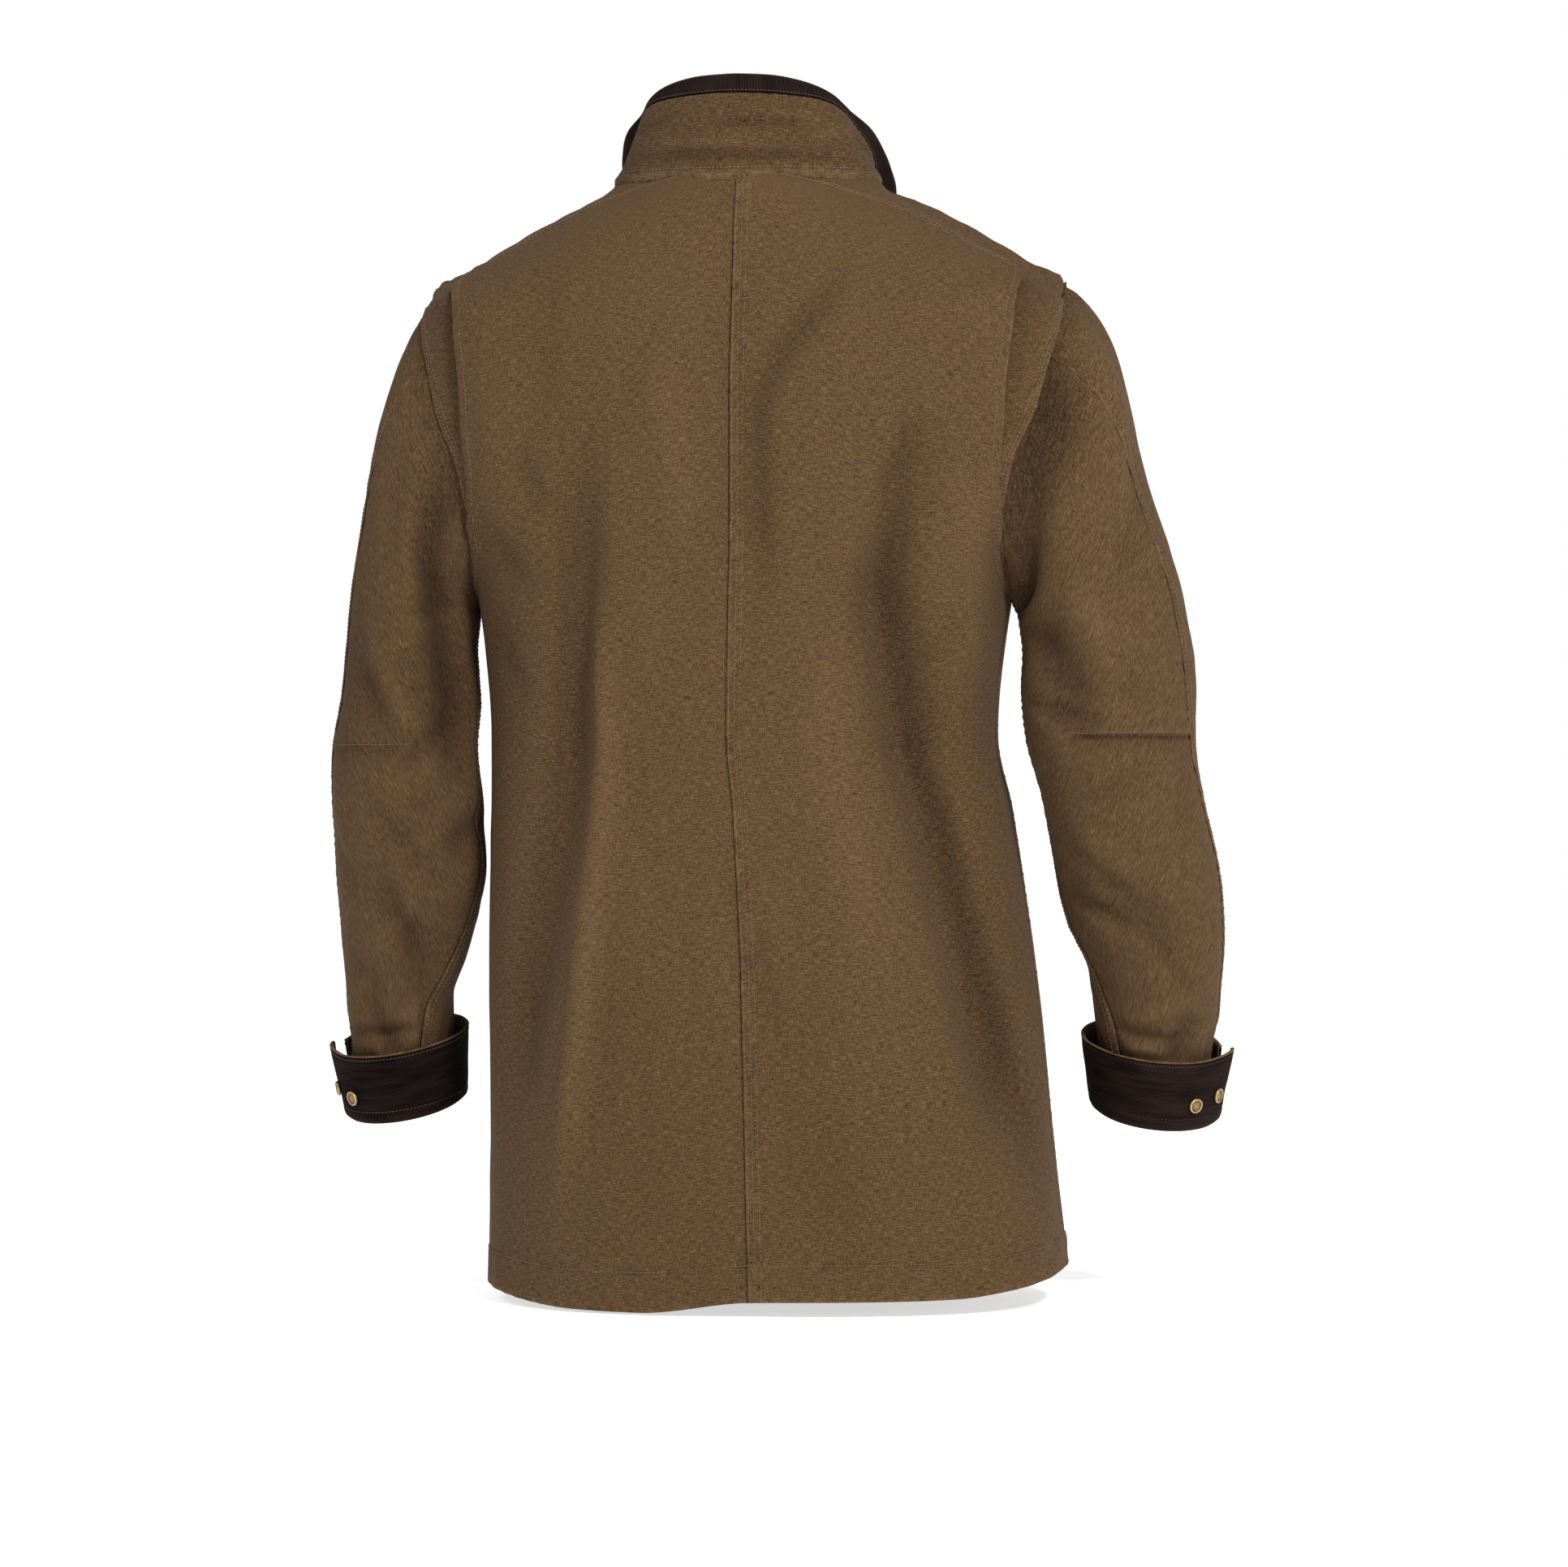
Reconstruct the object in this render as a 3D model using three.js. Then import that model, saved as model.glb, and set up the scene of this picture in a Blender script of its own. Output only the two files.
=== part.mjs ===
// A field coat as it is worn: canvas body and sleeves, a turned-up collar and turned-back cuffs
// faced with corduroy. Millimetres, +Z up. The coat faces -Y, so its back is +Y, and its left is +X.
// The origin is the collar seam at the centre of the back.
import * as THREE from 'three';

// ---------------------------------------------------------------- driving dimensions
const CANVAS = 1.6;               // thickness of a canvas wall
const CORDUROY = 1.6;             // thickness of a corduroy wall
const SEAM_GAP = 0.3;             // room between two pieces at a seam
const ARMHOLE_ROOM = 2.6;         // room between body and sleeve at the armhole, where they meet at an angle
const HEM_LEVEL = -871;           // height of the hem at the centre of the back
const NECK_UP = 878;              // length of the centre back, from the hem to the collar seam
const ARMPIT_UP = 541;            // where the armholes start on that length
const TIP_UP = 717;               // where they end, at the shoulder tip
const PLEAT_UP = 606;             // where the pleat opens, above the armpit
const FRONT_LAP = 22;             // how far each front runs past the centre
const PLEAT_UNDERLAP = 16;        // what the pleat strip keeps under the back panel
const PLEAT_LIFT = 4.2;           // how far the pleat's edge stands off the strip
const COLLAR_END = 171;           // angle from the centre back to each end of the collar
const COLLAR_ROOM = 1.8;          // more room under the collar where it leans over the fronts
const LEFT_WING = -8;             // how much further out each wing of the collar falls
const RIGHT_WING = 5;
const COLLAR_BULGE = 3.5;         // how far the middle of the collar's leaf swells out
const CUFF_HEIGHT = 53;
const CUFF_FLARE = 3;             // how much further out the cuff's top is than its bottom
const SNAP_DIAMETER = 12;
const SNAP_HEIGHT = 2.4;
const SNAP_SEAT = 0.45;           // room under a cap, as the cloth curves away below it
const FRONT_SNAPS = 6;
const FIRST_SNAP_UP = 90;         // how far up the front the lowest and the highest snap lie
const LAST_SNAP_UP = 790;
const RIDGE_RUN = 26;             // how far in front of its seam the shoulder's ridge is full
const HEM_SHARE = 200;            // how far up the coat the hem's own curve is felt
const FOLD_REACH = 2.2;           // how far round to the sides the body's folds keep their depth
const LEFT_CAP_SWELL = 0.15;      // how far each sleeve's cap swells out at the shoulder
const RIGHT_CAP_SWELL = 0.8;
const SLEEVE_ROW_LENGTH = 48;     // mean length of sleeve between two rows of its table
const SLEEVE_RADIUS = 58;         // mean radius of a sleeve
const SLEEVE_END = 11;            // where the sleeves end, counted in rows
const SEAM_TURN = 0.35;           // half the room at a sleeve's seams, in degrees round it
const CAP_SEAM_TURN = 1.1;        // more of it where the cap starts
const CUFF_ROOM = 7;              // from the sleeve's outside to the cuff at its bottom
const CUFF_FREE = -6;             // turn of the cuff's free end
const CUFF_UNDER = 350;           // turn of its under end
const CUFF_SPIRAL = 3.4;          // how far the free end lies outside the under end
const CUFF_CORNER = 5;            // how far the free end's top corner stands off

// ---------------------------------------------------------------- colours
const CANVAS_BROWN = { color: 0x6b5237, roughness: 0.9, metalness: 0 };
const CORDUROY_BROWN = { color: 0x2e1f1b, roughness: 0.95, metalness: 0 };
const ANTIQUE_BRASS = { color: 0x8a6b3f, roughness: 0.45, metalness: 0.9 };

// ---------------------------------------------------------------- tables
// The body, ring by ring. up: length from the hem along the centre back. side: half-width.
// sway: how far the ring's centre lies to the left. mid: how far it lies back. back, front: depths
// from the origin. sideZ, backZ, frontZ: heights there. round: exponent of the ring's curve.
// ridge: how much the shoulder rises in front of its seam. armBack, armFront, pleat: where the
// armhole, the shoulder seam or the pleat lies, as a share of the half-width.
const BODY = [
  { up: 0, side: 230, sway: -25, mid: 0, back: 160, front: 158, sideZ: -871, backZ: -871, frontZ: -871,
    round: 2.3, ridge: 0, armBack: 1, armFront: 1, pleat: 1 },
  { up: 116, side: 224, sway: -20, mid: 0, back: 155, front: 152, sideZ: -755, backZ: -755, frontZ: -755,
    round: 2.3, ridge: 0, armBack: 1, armFront: 1, pleat: 1 },
  { up: 245, side: 218, sway: -13, mid: 0, back: 150, front: 146, sideZ: -626, backZ: -626, frontZ: -626,
    round: 2.3, ridge: 0, armBack: 1, armFront: 1, pleat: 1 },
  { up: 374, side: 208, sway: -4, mid: 0, back: 138, front: 138, sideZ: -497, backZ: -497, frontZ: -497,
    round: 2.3, ridge: 0, armBack: 1, armFront: 1, pleat: 1 },
  { up: 435, side: 202, sway: 2, mid: 0, back: 131, front: 134, sideZ: -436, backZ: -436, frontZ: -436,
    round: 2.3, ridge: 0, armBack: 1, armFront: 1, pleat: 1 },
  { up: 541, side: 212, sway: 1, mid: 0, back: 127, front: 131, sideZ: -330, backZ: -330, frontZ: -330,
    round: 2.4, ridge: 0, armBack: 1, armFront: 1, pleat: 1 },
  { up: 590, side: 231, sway: 0, mid: 2, back: 127.5, front: 131, sideZ: -280, backZ: -281, frontZ: -285,
    round: 2.4, ridge: 0, armBack: 0.905, armFront: 0.9, pleat: 0.905 },
  { up: 635, side: 252, sway: 0, mid: 5, back: 127, front: 129, sideZ: -226, backZ: -236, frontZ: -246,
    round: 2.4, ridge: 2, armBack: 0.87, armFront: 0.85, pleat: 0.832 },
  { up: 671, side: 262, sway: 0, mid: 9, back: 125, front: 127, sideZ: -176, backZ: -200, frontZ: -216,
    round: 2.4, ridge: 10, armBack: 0.912, armFront: 0.88, pleat: 0.815 },
  { up: 698, side: 262, sway: 0, mid: 13, back: 122, front: 125, sideZ: -130, backZ: -173, frontZ: -193,
    round: 2.4, ridge: 15, armBack: 0.957, armFront: 0.95, pleat: 0.832 },
  { up: 717, side: 253, sway: 0, mid: 15, back: 119, front: 123, sideZ: -94, backZ: -155, frontZ: -178,
    round: 2.4, ridge: 20, armBack: 1, armFront: 1, pleat: 0.873 },
  { up: 751, side: 228, sway: 0, mid: 12, back: 113, front: 118, sideZ: -78, backZ: -122, frontZ: -152,
    round: 2.35, ridge: 17, armBack: 0.99, armFront: 1, pleat: 0.968 },
  { up: 784, side: 195, sway: 0, mid: 8, back: 106, front: 113, sideZ: -56, backZ: -90, frontZ: -130,
    round: 2.3, ridge: 16, armBack: 0.972, armFront: 1, pleat: 1 },
  { up: 817, side: 160, sway: 0, mid: 4, back: 98, front: 108, sideZ: -34, backZ: -58, frontZ: -111,
    round: 2.2, ridge: 14, armBack: 0.94, armFront: 1, pleat: 1 },
  { up: 846, side: 130, sway: 0, mid: 1, back: 90, front: 103, sideZ: -17, backZ: -30, frontZ: -95,
    round: 2.1, ridge: 11, armBack: 0.87, armFront: 1, pleat: 1 },
  { up: 865, side: 114, sway: 0, mid: -4, back: 84, front: 100, sideZ: -7, backZ: -12, frontZ: -86,
    round: 2.05, ridge: 6, armBack: 0.72, armFront: 1, pleat: 1 },
  { up: 878, side: 105, sway: 0, mid: -9, back: 80, front: 98, sideZ: 3, backZ: 0, frontZ: -80,
    round: 2, ridge: 0, armBack: 0.365, armFront: 1, pleat: 1 },
];

// The hem's height round the coat. angle: from the centre back towards the left.
const HEM = [
  { angle: -180, z: -862 },
  { angle: -120, z: -856 },
  { angle: -90, z: -854 },
  { angle: -65, z: -865 },
  { angle: -50, z: -870 },
  { angle: 0, z: -871.5 },
  { angle: 30, z: -881 },
  { angle: 45, z: -880.5 },
  { angle: 75, z: -871 },
  { angle: 90, z: -867 },
  { angle: 120, z: -864 },
  { angle: 180, z: -862 },
];

// The main folds of the body. z and x run along the fold's middle, from its top to its bottom.
// push: how far the cloth stands out (in, where negative). width: half-width of the fold.
const BACK_FOLDS = [
  { topZ: -190, topX: -140, midZ: -470, midX: -128, endZ: -800, endX: -205, push: -13, width: 26 },
  { topZ: -60, topX: -48, midZ: -170, midX: -18, endZ: -330, endX: -14, push: -5, width: 20 },
  { topZ: -60, topX: 40, midZ: -170, midX: 22, endZ: -330, endX: 34, push: -4, width: 20 },
  { topZ: -300, topX: 112, midZ: -560, midX: 118, endZ: -860, endX: 138, push: 8, width: 20 },
  { topZ: -200, topX: 150, midZ: -480, midX: 154, endZ: -820, endX: 178, push: -10, width: 24 },
  { topZ: -330, topX: -78, midZ: -480, midX: -76, endZ: -640, endX: -90, push: 6, width: 22 },
  { topZ: -560, topX: -26, midZ: -700, midX: -46, endZ: -871, endX: -68, push: -4, width: 20 },
];
const FRONT_FOLDS = [
  { topZ: -230, topX: -130, midZ: -420, midX: -120, endZ: -760, endX: -150, push: -8, width: 26 },
  { topZ: -250, topX: 125, midZ: -460, midX: 128, endZ: -800, endX: 150, push: -8, width: 26 },
  { topZ: -420, topX: 70, midZ: -600, midX: 76, endZ: -850, endX: 84, push: 5, width: 24 },
  { topZ: -400, topX: -72, midZ: -600, midX: -80, endZ: -850, endX: -92, push: 5, width: 24 },
];

// The top edge of the turned-up collar. reach: distance from the neck's middle. z: its height.
const COLLAR_TOP = [
  { angle: 0, reach: 74, z: 80 },
  { angle: 22, reach: 75, z: 79 },
  { angle: 40, reach: 78, z: 75.5 },
  { angle: 60, reach: 80, z: 69 },
  { angle: 80, reach: 82, z: 58.5 },
  { angle: 95, reach: 91, z: 47 },
  { angle: 107, reach: 99, z: 35 },
  { angle: 117, reach: 111, z: 21 },
  { angle: 125, reach: 124, z: 6.5 },
  { angle: 133, reach: 134, z: -8 },
  { angle: 148, reach: 139, z: -23 },
  { angle: 171, reach: 136, z: -28 },
];

// The sleeves below their caps, ring by ring. z, x, y: the ring's middle. wide, deep: half-sizes.
// rise: how much higher its outer side is than its middle. lift: the same for its back side.
const LEFT_SLEEVE = [
  { z: -300, x: 261, y: 8, wide: 45.5, deep: 68, rise: 45, lift: 0 },
  { z: -352, x: 266, y: 16, wide: 50, deep: 67, rise: 22, lift: 0 },
  { z: -400, x: 266, y: 25, wide: 54, deep: 65, rise: 6, lift: 0 },
  { z: -450, x: 270, y: 30, wide: 57, deep: 62, rise: 0, lift: 0 },
  { z: -497, x: 269, y: 23, wide: 60, deep: 60, rise: 0, lift: -3 },
  { z: -540, x: 270, y: 10, wide: 60, deep: 57, rise: 0, lift: -7 },
  { z: -580, x: 274, y: -4, wide: 56, deep: 54, rise: -2, lift: -10 },
  { z: -620, x: 280, y: -17, wide: 49, deep: 50, rise: -4, lift: -12 },
  { z: -655, x: 286, y: -27, wide: 42, deep: 47, rise: -6, lift: -13 },
  { z: -690, x: 286, y: -36, wide: 40, deep: 45, rise: -7, lift: -13 },
  { z: -733, x: 285, y: -46, wide: 39, deep: 43, rise: -6, lift: -12 },
];
const RIGHT_SLEEVE = [
  { z: -300, x: 271, y: 8, wide: 53, deep: 68, rise: 45, lift: 0 },
  { z: -352, x: 285, y: 16, wide: 63, deep: 67, rise: 22, lift: 0 },
  { z: -400, x: 290, y: 25, wide: 68, deep: 66, rise: 6, lift: 0 },
  { z: -440, x: 292, y: 30, wide: 66, deep: 64, rise: 0, lift: 0 },
  { z: -491, x: 302, y: 24, wide: 63, deep: 61, rise: 0, lift: -3 },
  { z: -540, x: 311, y: 10, wide: 64, deep: 58, rise: 0, lift: -7 },
  { z: -581, x: 316, y: -4, wide: 62, deep: 55, rise: -2, lift: -10 },
  { z: -626, x: 323, y: -18, wide: 52, deep: 51, rise: -4, lift: -12 },
  { z: -655, x: 323, y: -27, wide: 49, deep: 48, rise: -6, lift: -13 },
  { z: -690, x: 321, y: -36, wide: 43, deep: 45, rise: -7, lift: -13 },
  { z: -733, x: 321, y: -46, wide: 41, deep: 43, rise: -6, lift: -12 },
];

// ---------------------------------------------------------------- small helpers
const radians = THREE.MathUtils.degToRad;
const clamp = THREE.MathUtils.clamp;
const lerp = THREE.MathUtils.lerp;

function smooth(from, to, value) {
  return THREE.MathUtils.smoothstep(value, from, to);
}

// A row worked out between the rows of a table, with every column on a smooth curve.
function rowAt(table, key, value) {
  const last = table.length - 1;
  const wanted = clamp(value, table[0][key], table[last][key]);
  let low = 0;
  while (low < last - 1 && wanted > table[low + 1][key]) low += 1;
  const gap = table[low + 1][key] - table[low][key];
  const share = (wanted - table[low][key]) / gap;
  const row = {};
  for (const column of Object.keys(table[0])) {
    const slope = (index) => columnSlope(table, key, column, index) * gap;
    row[column] = hermite(table[low][column], table[low + 1][column], slope(low), slope(low + 1), share);
  }
  return row;
}

// The slope of a column at one row: flat at a peak, and never steep enough to overshoot.
function columnSlope(table, key, column, index) {
  const step = (i) => (table[i + 1][column] - table[i][column]) / (table[i + 1][key] - table[i][key]);
  if (index === 0) return step(0);
  if (index === table.length - 1) return step(index - 1);
  const before = step(index - 1);
  const after = step(index);
  if (before * after <= 0) return 0;
  return (2 * before * after) / (before + after);
}

function hermite(start, end, startSlope, endSlope, share) {
  const s2 = share * share;
  const s3 = s2 * share;
  return (2 * s3 - 3 * s2 + 1) * start + (s3 - 2 * s2 + share) * startSlope
    + (3 * s2 - 2 * s3) * end + (s3 - s2) * endSlope;
}

// ---------------------------------------------------------------- walls
// A closed wall between two grids of points, outer[i][j] and inner[i][j]. i runs across and j up,
// so that the outer side faces out where across x up points outwards.
function wall(outer, inner) {
  const across = outer.length;
  const up = outer[0].length;
  const positions = [];
  for (const grid of [outer, inner]) {
    for (const column of grid) {
      for (const point of column) positions.push(point.x, point.y, point.z);
    }
  }
  const indices = [];
  const out = (i, j) => i * up + j;
  const inn = (i, j) => across * up + i * up + j;
  const quad = (a, b, c, d) => indices.push(a, b, c, a, c, d);
  for (let i = 0; i < across - 1; i += 1) {
    for (let j = 0; j < up - 1; j += 1) {
      quad(out(i, j), out(i + 1, j), out(i + 1, j + 1), out(i, j + 1));
      quad(inn(i, j), inn(i, j + 1), inn(i + 1, j + 1), inn(i + 1, j));
    }
    quad(inn(i, 0), inn(i + 1, 0), out(i + 1, 0), out(i, 0));
    quad(out(i, up - 1), out(i + 1, up - 1), inn(i + 1, up - 1), inn(i, up - 1));
  }
  for (let j = 0; j < up - 1; j += 1) {
    quad(inn(0, j), out(0, j), out(0, j + 1), inn(0, j + 1));
    quad(out(across - 1, j), inn(across - 1, j), inn(across - 1, j + 1), out(across - 1, j + 1));
  }
  const geometry = new THREE.BufferGeometry();
  geometry.setAttribute('position', new THREE.Float32BufferAttribute(positions, 3));
  geometry.setIndex(indices);
  geometry.computeVertexNormals();
  return geometry;
}

// The outward normal of surface(a, b). sense is 1 where da x db points outwards, and -1 elsewhere.
function normalOf(surface, a, b, sense, stepA, stepB) {
  const alongA = surface(a + stepA, b).sub(surface(a - stepA, b));
  const alongB = surface(a, b + stepB).sub(surface(a, b - stepB));
  return alongA.cross(alongB).multiplyScalar(sense).normalize();
}

function pieceOf(name, geometry, look) {
  const mesh = new THREE.Mesh(geometry, new THREE.MeshStandardMaterial(look));
  mesh.name = name;
  coat.add(mesh);
  return mesh;
}

function steps(count, from = 0, to = 1) {
  return Array.from({ length: count + 1 }, (_, index) => lerp(from, to, index / count));
}

// ---------------------------------------------------------------- the body's surface
// How far the folds of one table push the cloth at a place on the coat.
function foldPush(folds, x, z) {
  let push = 0;
  for (const fold of folds) {
    const length = fold.topZ - fold.endZ;
    const share = (fold.topZ - z) / length;
    if (share <= 0 || share >= 1) continue;
    const middle = (fold.topZ - fold.midZ) / length;
    const bent = share < middle
      ? lerp(fold.topX, fold.midX, smooth(0, 1, share / middle))
      : lerp(fold.midX, fold.endX, (share - middle) / (1 - middle));
    const ends = smooth(0, 0.25, share) * smooth(0, 0.3, 1 - share);
    push += fold.push * ends * Math.exp(-(((x - bent) / fold.width) ** 2));
  }
  return push;
}

// A point of the body's outside. angle: from the centre back, positive to the left. up: see BODY.
function bodyPoint(angle, up) {
  const row = rowAt(BODY, 'up', up);
  const sine = Math.sin(radians(angle));
  const cosine = Math.cos(radians(angle));
  const depth = cosine >= 0 ? row.back - row.mid : row.front + row.mid;
  const reach = ((Math.abs(sine) / row.side) ** row.round
    + (Math.abs(cosine) / depth) ** row.round) ** (-1 / row.round);
  const x = reach * sine;
  const y = row.mid + reach * cosine;
  const share = cosine * cosine;
  let z = lerp(row.sideZ, row.backZ, share);
  if (cosine < 0) {
    const crest = row.sideZ + row.ridge * smooth(0, RIDGE_RUN, row.mid - y);
    z = lerp(crest, row.frontZ, share);
  }
  const hemFade = Math.max(0, 1 - up / HEM_SHARE) ** 2;
  if (hemFade > 0) z += (rowAt(HEM, 'angle', angle).z - HEM_LEVEL) * hemFade;
  const folds = cosine >= 0 ? BACK_FOLDS : FRONT_FOLDS;
  const push = foldPush(folds, x, z) * Math.min(1, Math.abs(cosine) * FOLD_REACH);
  const outward = new THREE.Vector2(sine / row.side, cosine / depth).normalize();
  return new THREE.Vector3(x + row.sway + outward.x * push, y + outward.y * push, z);
}

function bodyNormal(angle, up) {
  const below = Math.min(up, NECK_UP - 1);
  return normalOf(bodyPoint, angle, Math.max(below, 1), -1, 0.5, 1);
}

// The angle at which a ring reaches a share of its half-width, behind or in front of its side.
function angleAtShare(up, share, isFront) {
  const row = rowAt(BODY, 'up', up);
  const kept = clamp(share, 0, 1);
  const whole = isFront ? row.front + row.mid : row.back - row.mid;
  const depth = whole * (1 - kept ** row.round) ** (1 / row.round);
  const angle = THREE.MathUtils.radToDeg(Math.atan2(row.side * kept, depth));
  return isFront ? 180 - angle : angle;
}

function bodyRow(up) {
  return rowAt(BODY, 'up', up);
}

function edgeAngle(up, column, isFront) {
  return angleAtShare(up, bodyRow(up)[column], isFront);
}

// ---------------------------------------------------------------- body panels
// The rings that every panel of the body has: the corners of its outline are among them.
const LOW_RINGS = [0, 22, 55, 100, 150, 200, 250, 300, 345, 390, 430, 470, 508, ARMPIT_UP];
const ARM_RINGS = [552, 575, 606, 630, 657, 680, 698, 708, 714, 716, TIP_UP];
const TOP_RINGS = [732, 750, 768, 786, 805, 825, 844, 858, 868, NECK_UP - SEAM_GAP];

const halfGap = (angle, up) => THREE.MathUtils.radToDeg((SEAM_GAP / 2) / bodyReach(angle, up));

function bodyReach(angle, up) {
  const point = bodyPoint(angle, up);
  return Math.hypot(point.x, point.y);
}

// A panel of the body between two edges, which are functions of up that give an angle.
function bodyPanel(name, rings, columns, startAngle, endAngle, lift) {
  const outer = [];
  const inner = [];
  for (const share of columns) {
    const outerColumn = [];
    const innerColumn = [];
    for (const up of rings) {
      const start = startAngle(up);
      const end = endAngle(up);
      const turn = Math.sign(end - start);
      const angle = lerp(start + turn * halfGap(start, up), end - turn * halfGap(end, up), share);
      const point = bodyPoint(angle, up);
      const normal = bodyNormal(angle, up);
      const raised = lift(angle, up, point);
      outerColumn.push(point.clone().addScaledVector(normal, raised));
      innerColumn.push(point.clone().addScaledVector(normal, raised - CANVAS));
    }
    outer.push(outerColumn);
    inner.push(innerColumn);
  }
  const isLeftward = endAngle(rings[0]) > startAngle(rings[0]);
  if (isLeftward) {
    outer.reverse();
    inner.reverse();
  }
  pieceOf(name, wall(outer, inner), CANVAS_BROWN);
}

const pleatAngle = (up) => Math.min(edgeAngle(up, 'pleat', false), edgeAngle(up, 'armBack', false));

// The back panel stands off the pleat strip near the pleat's edge.
function pleatLift(angle, up, point) {
  const edge = bodyPoint(pleatAngle(up), up);
  const side = Math.abs(point.x);
  const near = 1 - smooth(PLEAT_UNDERLAP + 4, PLEAT_UNDERLAP + 46, Math.abs(edge.x) - side);
  return PLEAT_LIFT * near * smooth(PLEAT_UP - 40, PLEAT_UP, up);
}

// ---------------------------------------------------------------- the coat
const coat = new THREE.Group();
coat.name = 'field_coat';

const BACK_COLUMNS = steps(15).map((share) => 1 - (1 - share) ** 1.35);
const FRONT_COLUMNS = steps(9);
const ALL_RINGS = [...LOW_RINGS, ...ARM_RINGS, ...TOP_RINGS];
const PLEAT_RINGS = [PLEAT_UP, 630, 657, 680, 698, 708, 714, TIP_UP, 732, 750];

function pleatStart(up) {
  const edge = pleatAngle(up);
  return edge - THREE.MathUtils.radToDeg(PLEAT_UNDERLAP / bodyReach(edge, up));
}

for (const [side, sign] of [['left', 1], ['right', -1]]) {
  const mirror = (angleOf) => (up) => sign * angleOf(up);
  const armhole = (up) => edgeAngle(up, 'armBack', false);
  bodyPanel(`back_${side}`, ALL_RINGS, BACK_COLUMNS, () => 0, mirror(pleatAngle), pleatLift);
  bodyPanel(`back_pleat_${side}`, PLEAT_RINGS, steps(4), mirror(pleatStart), mirror(armhole), () => 0);
}

// Each front runs from the side seam, the armhole or the shoulder seam to past the centre front.
function frontEdge(up) {
  if (up <= TIP_UP) return edgeAngle(up, 'armFront', true);
  return edgeAngle(up, 'armBack', false);
}

function lapAngle(up, past) {
  const depth = Math.abs(bodyPoint(180, up).y);
  return 180 + Math.sign(past) * THREE.MathUtils.radToDeg(Math.atan2(Math.abs(past), depth));
}

// The right front lies under the left one near the centre.
function underLift(angle, up, point) {
  const away = bodyRow(up).sway - point.x;
  return -(CANVAS + SEAM_GAP + 0.2) * (1 - smooth(FRONT_LAP + 4, FRONT_LAP + 24, away));
}

const lapEdge = (up) => lapAngle(up, FRONT_LAP);
bodyPanel('front_left', ALL_RINGS, FRONT_COLUMNS, frontEdge, lapEdge, () => 0);
bodyPanel('front_right', ALL_RINGS, FRONT_COLUMNS, (up) => -frontEdge(up), (up) => -lapEdge(up), underLift);

// ---------------------------------------------------------------- collar
// The collar's leaf. angle: round the neck. height: length up the leaf as a share of its whole.
function collarPoint(angle, height) {
  const base = bodyPoint(angle, NECK_UP);
  base.z += SEAM_GAP + COLLAR_ROOM * smooth(50, 100, Math.abs(angle));
  const top = rowAt(COLLAR_TOP, 'angle', Math.abs(angle));
  const neckMid = bodyRow(NECK_UP).mid;
  const wing = (angle < 0 ? RIGHT_WING : LEFT_WING) * smooth(70, 115, Math.abs(angle));
  const end = new THREE.Vector3(
    (top.reach + wing) * Math.sin(radians(angle)),
    neckMid + (top.reach + wing) * Math.cos(radians(angle)),
    top.z,
  );
  const bulge = 4 * height * (1 - height) * COLLAR_BULGE;
  const point = base.clone().lerp(end, height);
  point.x += bulge * Math.sin(radians(angle));
  point.y += bulge * Math.cos(radians(angle));
  return point;
}

function collarNormal(angle, height) {
  return normalOf(collarPoint, angle, height, -1, 0.5, 0.02);
}

function leafLength(angle) {
  return collarPoint(angle, 1).distanceTo(collarPoint(angle, 0));
}

// Points offset from the leaf's middle. rise: millimetres up the leaf. out: millimetres outwards.
function leafOffset(angle, rise, out) {
  const share = rise / leafLength(angle);
  return collarPoint(angle, share).addScaledVector(collarNormal(angle, clamp(share, 0.02, 0.98)), out);
}

const bandWidth = (angle) => lerp(15, 10, smooth(20, 90, Math.abs(angle)));
const COLLAR_TURNS = steps(32, COLLAR_END, -COLLAR_END);

function collarOuter() {
  const rises = steps(5);
  const points = (out) => COLLAR_TURNS.map((angle) => rises.map((share) => {
    const whole = leafLength(angle) - bandWidth(angle) - 2.5 * SEAM_GAP;
    return leafOffset(angle, share * whole, out);
  }));
  return wall(points(CANVAS), points(0));
}

// The facing goes up inside the leaf, over its top and a little way down outside.
function collarFacing() {
  const inside = -4 * SEAM_GAP;
  const section = (angle) => {
    const whole = leafLength(angle);
    const band = bandWidth(angle);
    const up = steps(4).map((share) => ({ rise: share * (whole - 2.5), out: inside }));
    const roll = [
      { rise: whole - 0.8, out: inside + 0.2 },
      { rise: whole - 0.8, out: -0.05 },
    ];
    const down = steps(2).map((share) => ({ rise: lerp(whole - 1.8, whole - band, share), out: 0.05 }));
    return [...up, ...roll, ...down];
  };
  const skin = (angle) => {
    const whole = leafLength(angle);
    const band = bandWidth(angle);
    const far = inside - CORDUROY;
    const up = steps(4).map((share) => ({ rise: share * (whole - 2.5), out: far }));
    const roll = [
      { rise: whole + 0.5, out: far + 0.8 },
      { rise: whole + 0.5, out: CORDUROY - 0.4 },
    ];
    const downOut = CORDUROY + 0.2;
    const down = steps(2).map((share) => ({ rise: lerp(whole - 1.4, whole - band, share), out: downOut }));
    return [...up, ...roll, ...down];
  };
  const rowOf = (angle, places) => places.map((place) => leafOffset(angle, place.rise, place.out));
  const gridOf = (make) => COLLAR_TURNS.map((angle) => rowOf(angle, make(angle)));
  return wall(gridOf(section), gridOf(skin));
}

pieceOf('collar_outer', collarOuter(), CANVAS_BROWN);
pieceOf('collar_facing', collarFacing(), CORDUROY_BROWN);

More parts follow.
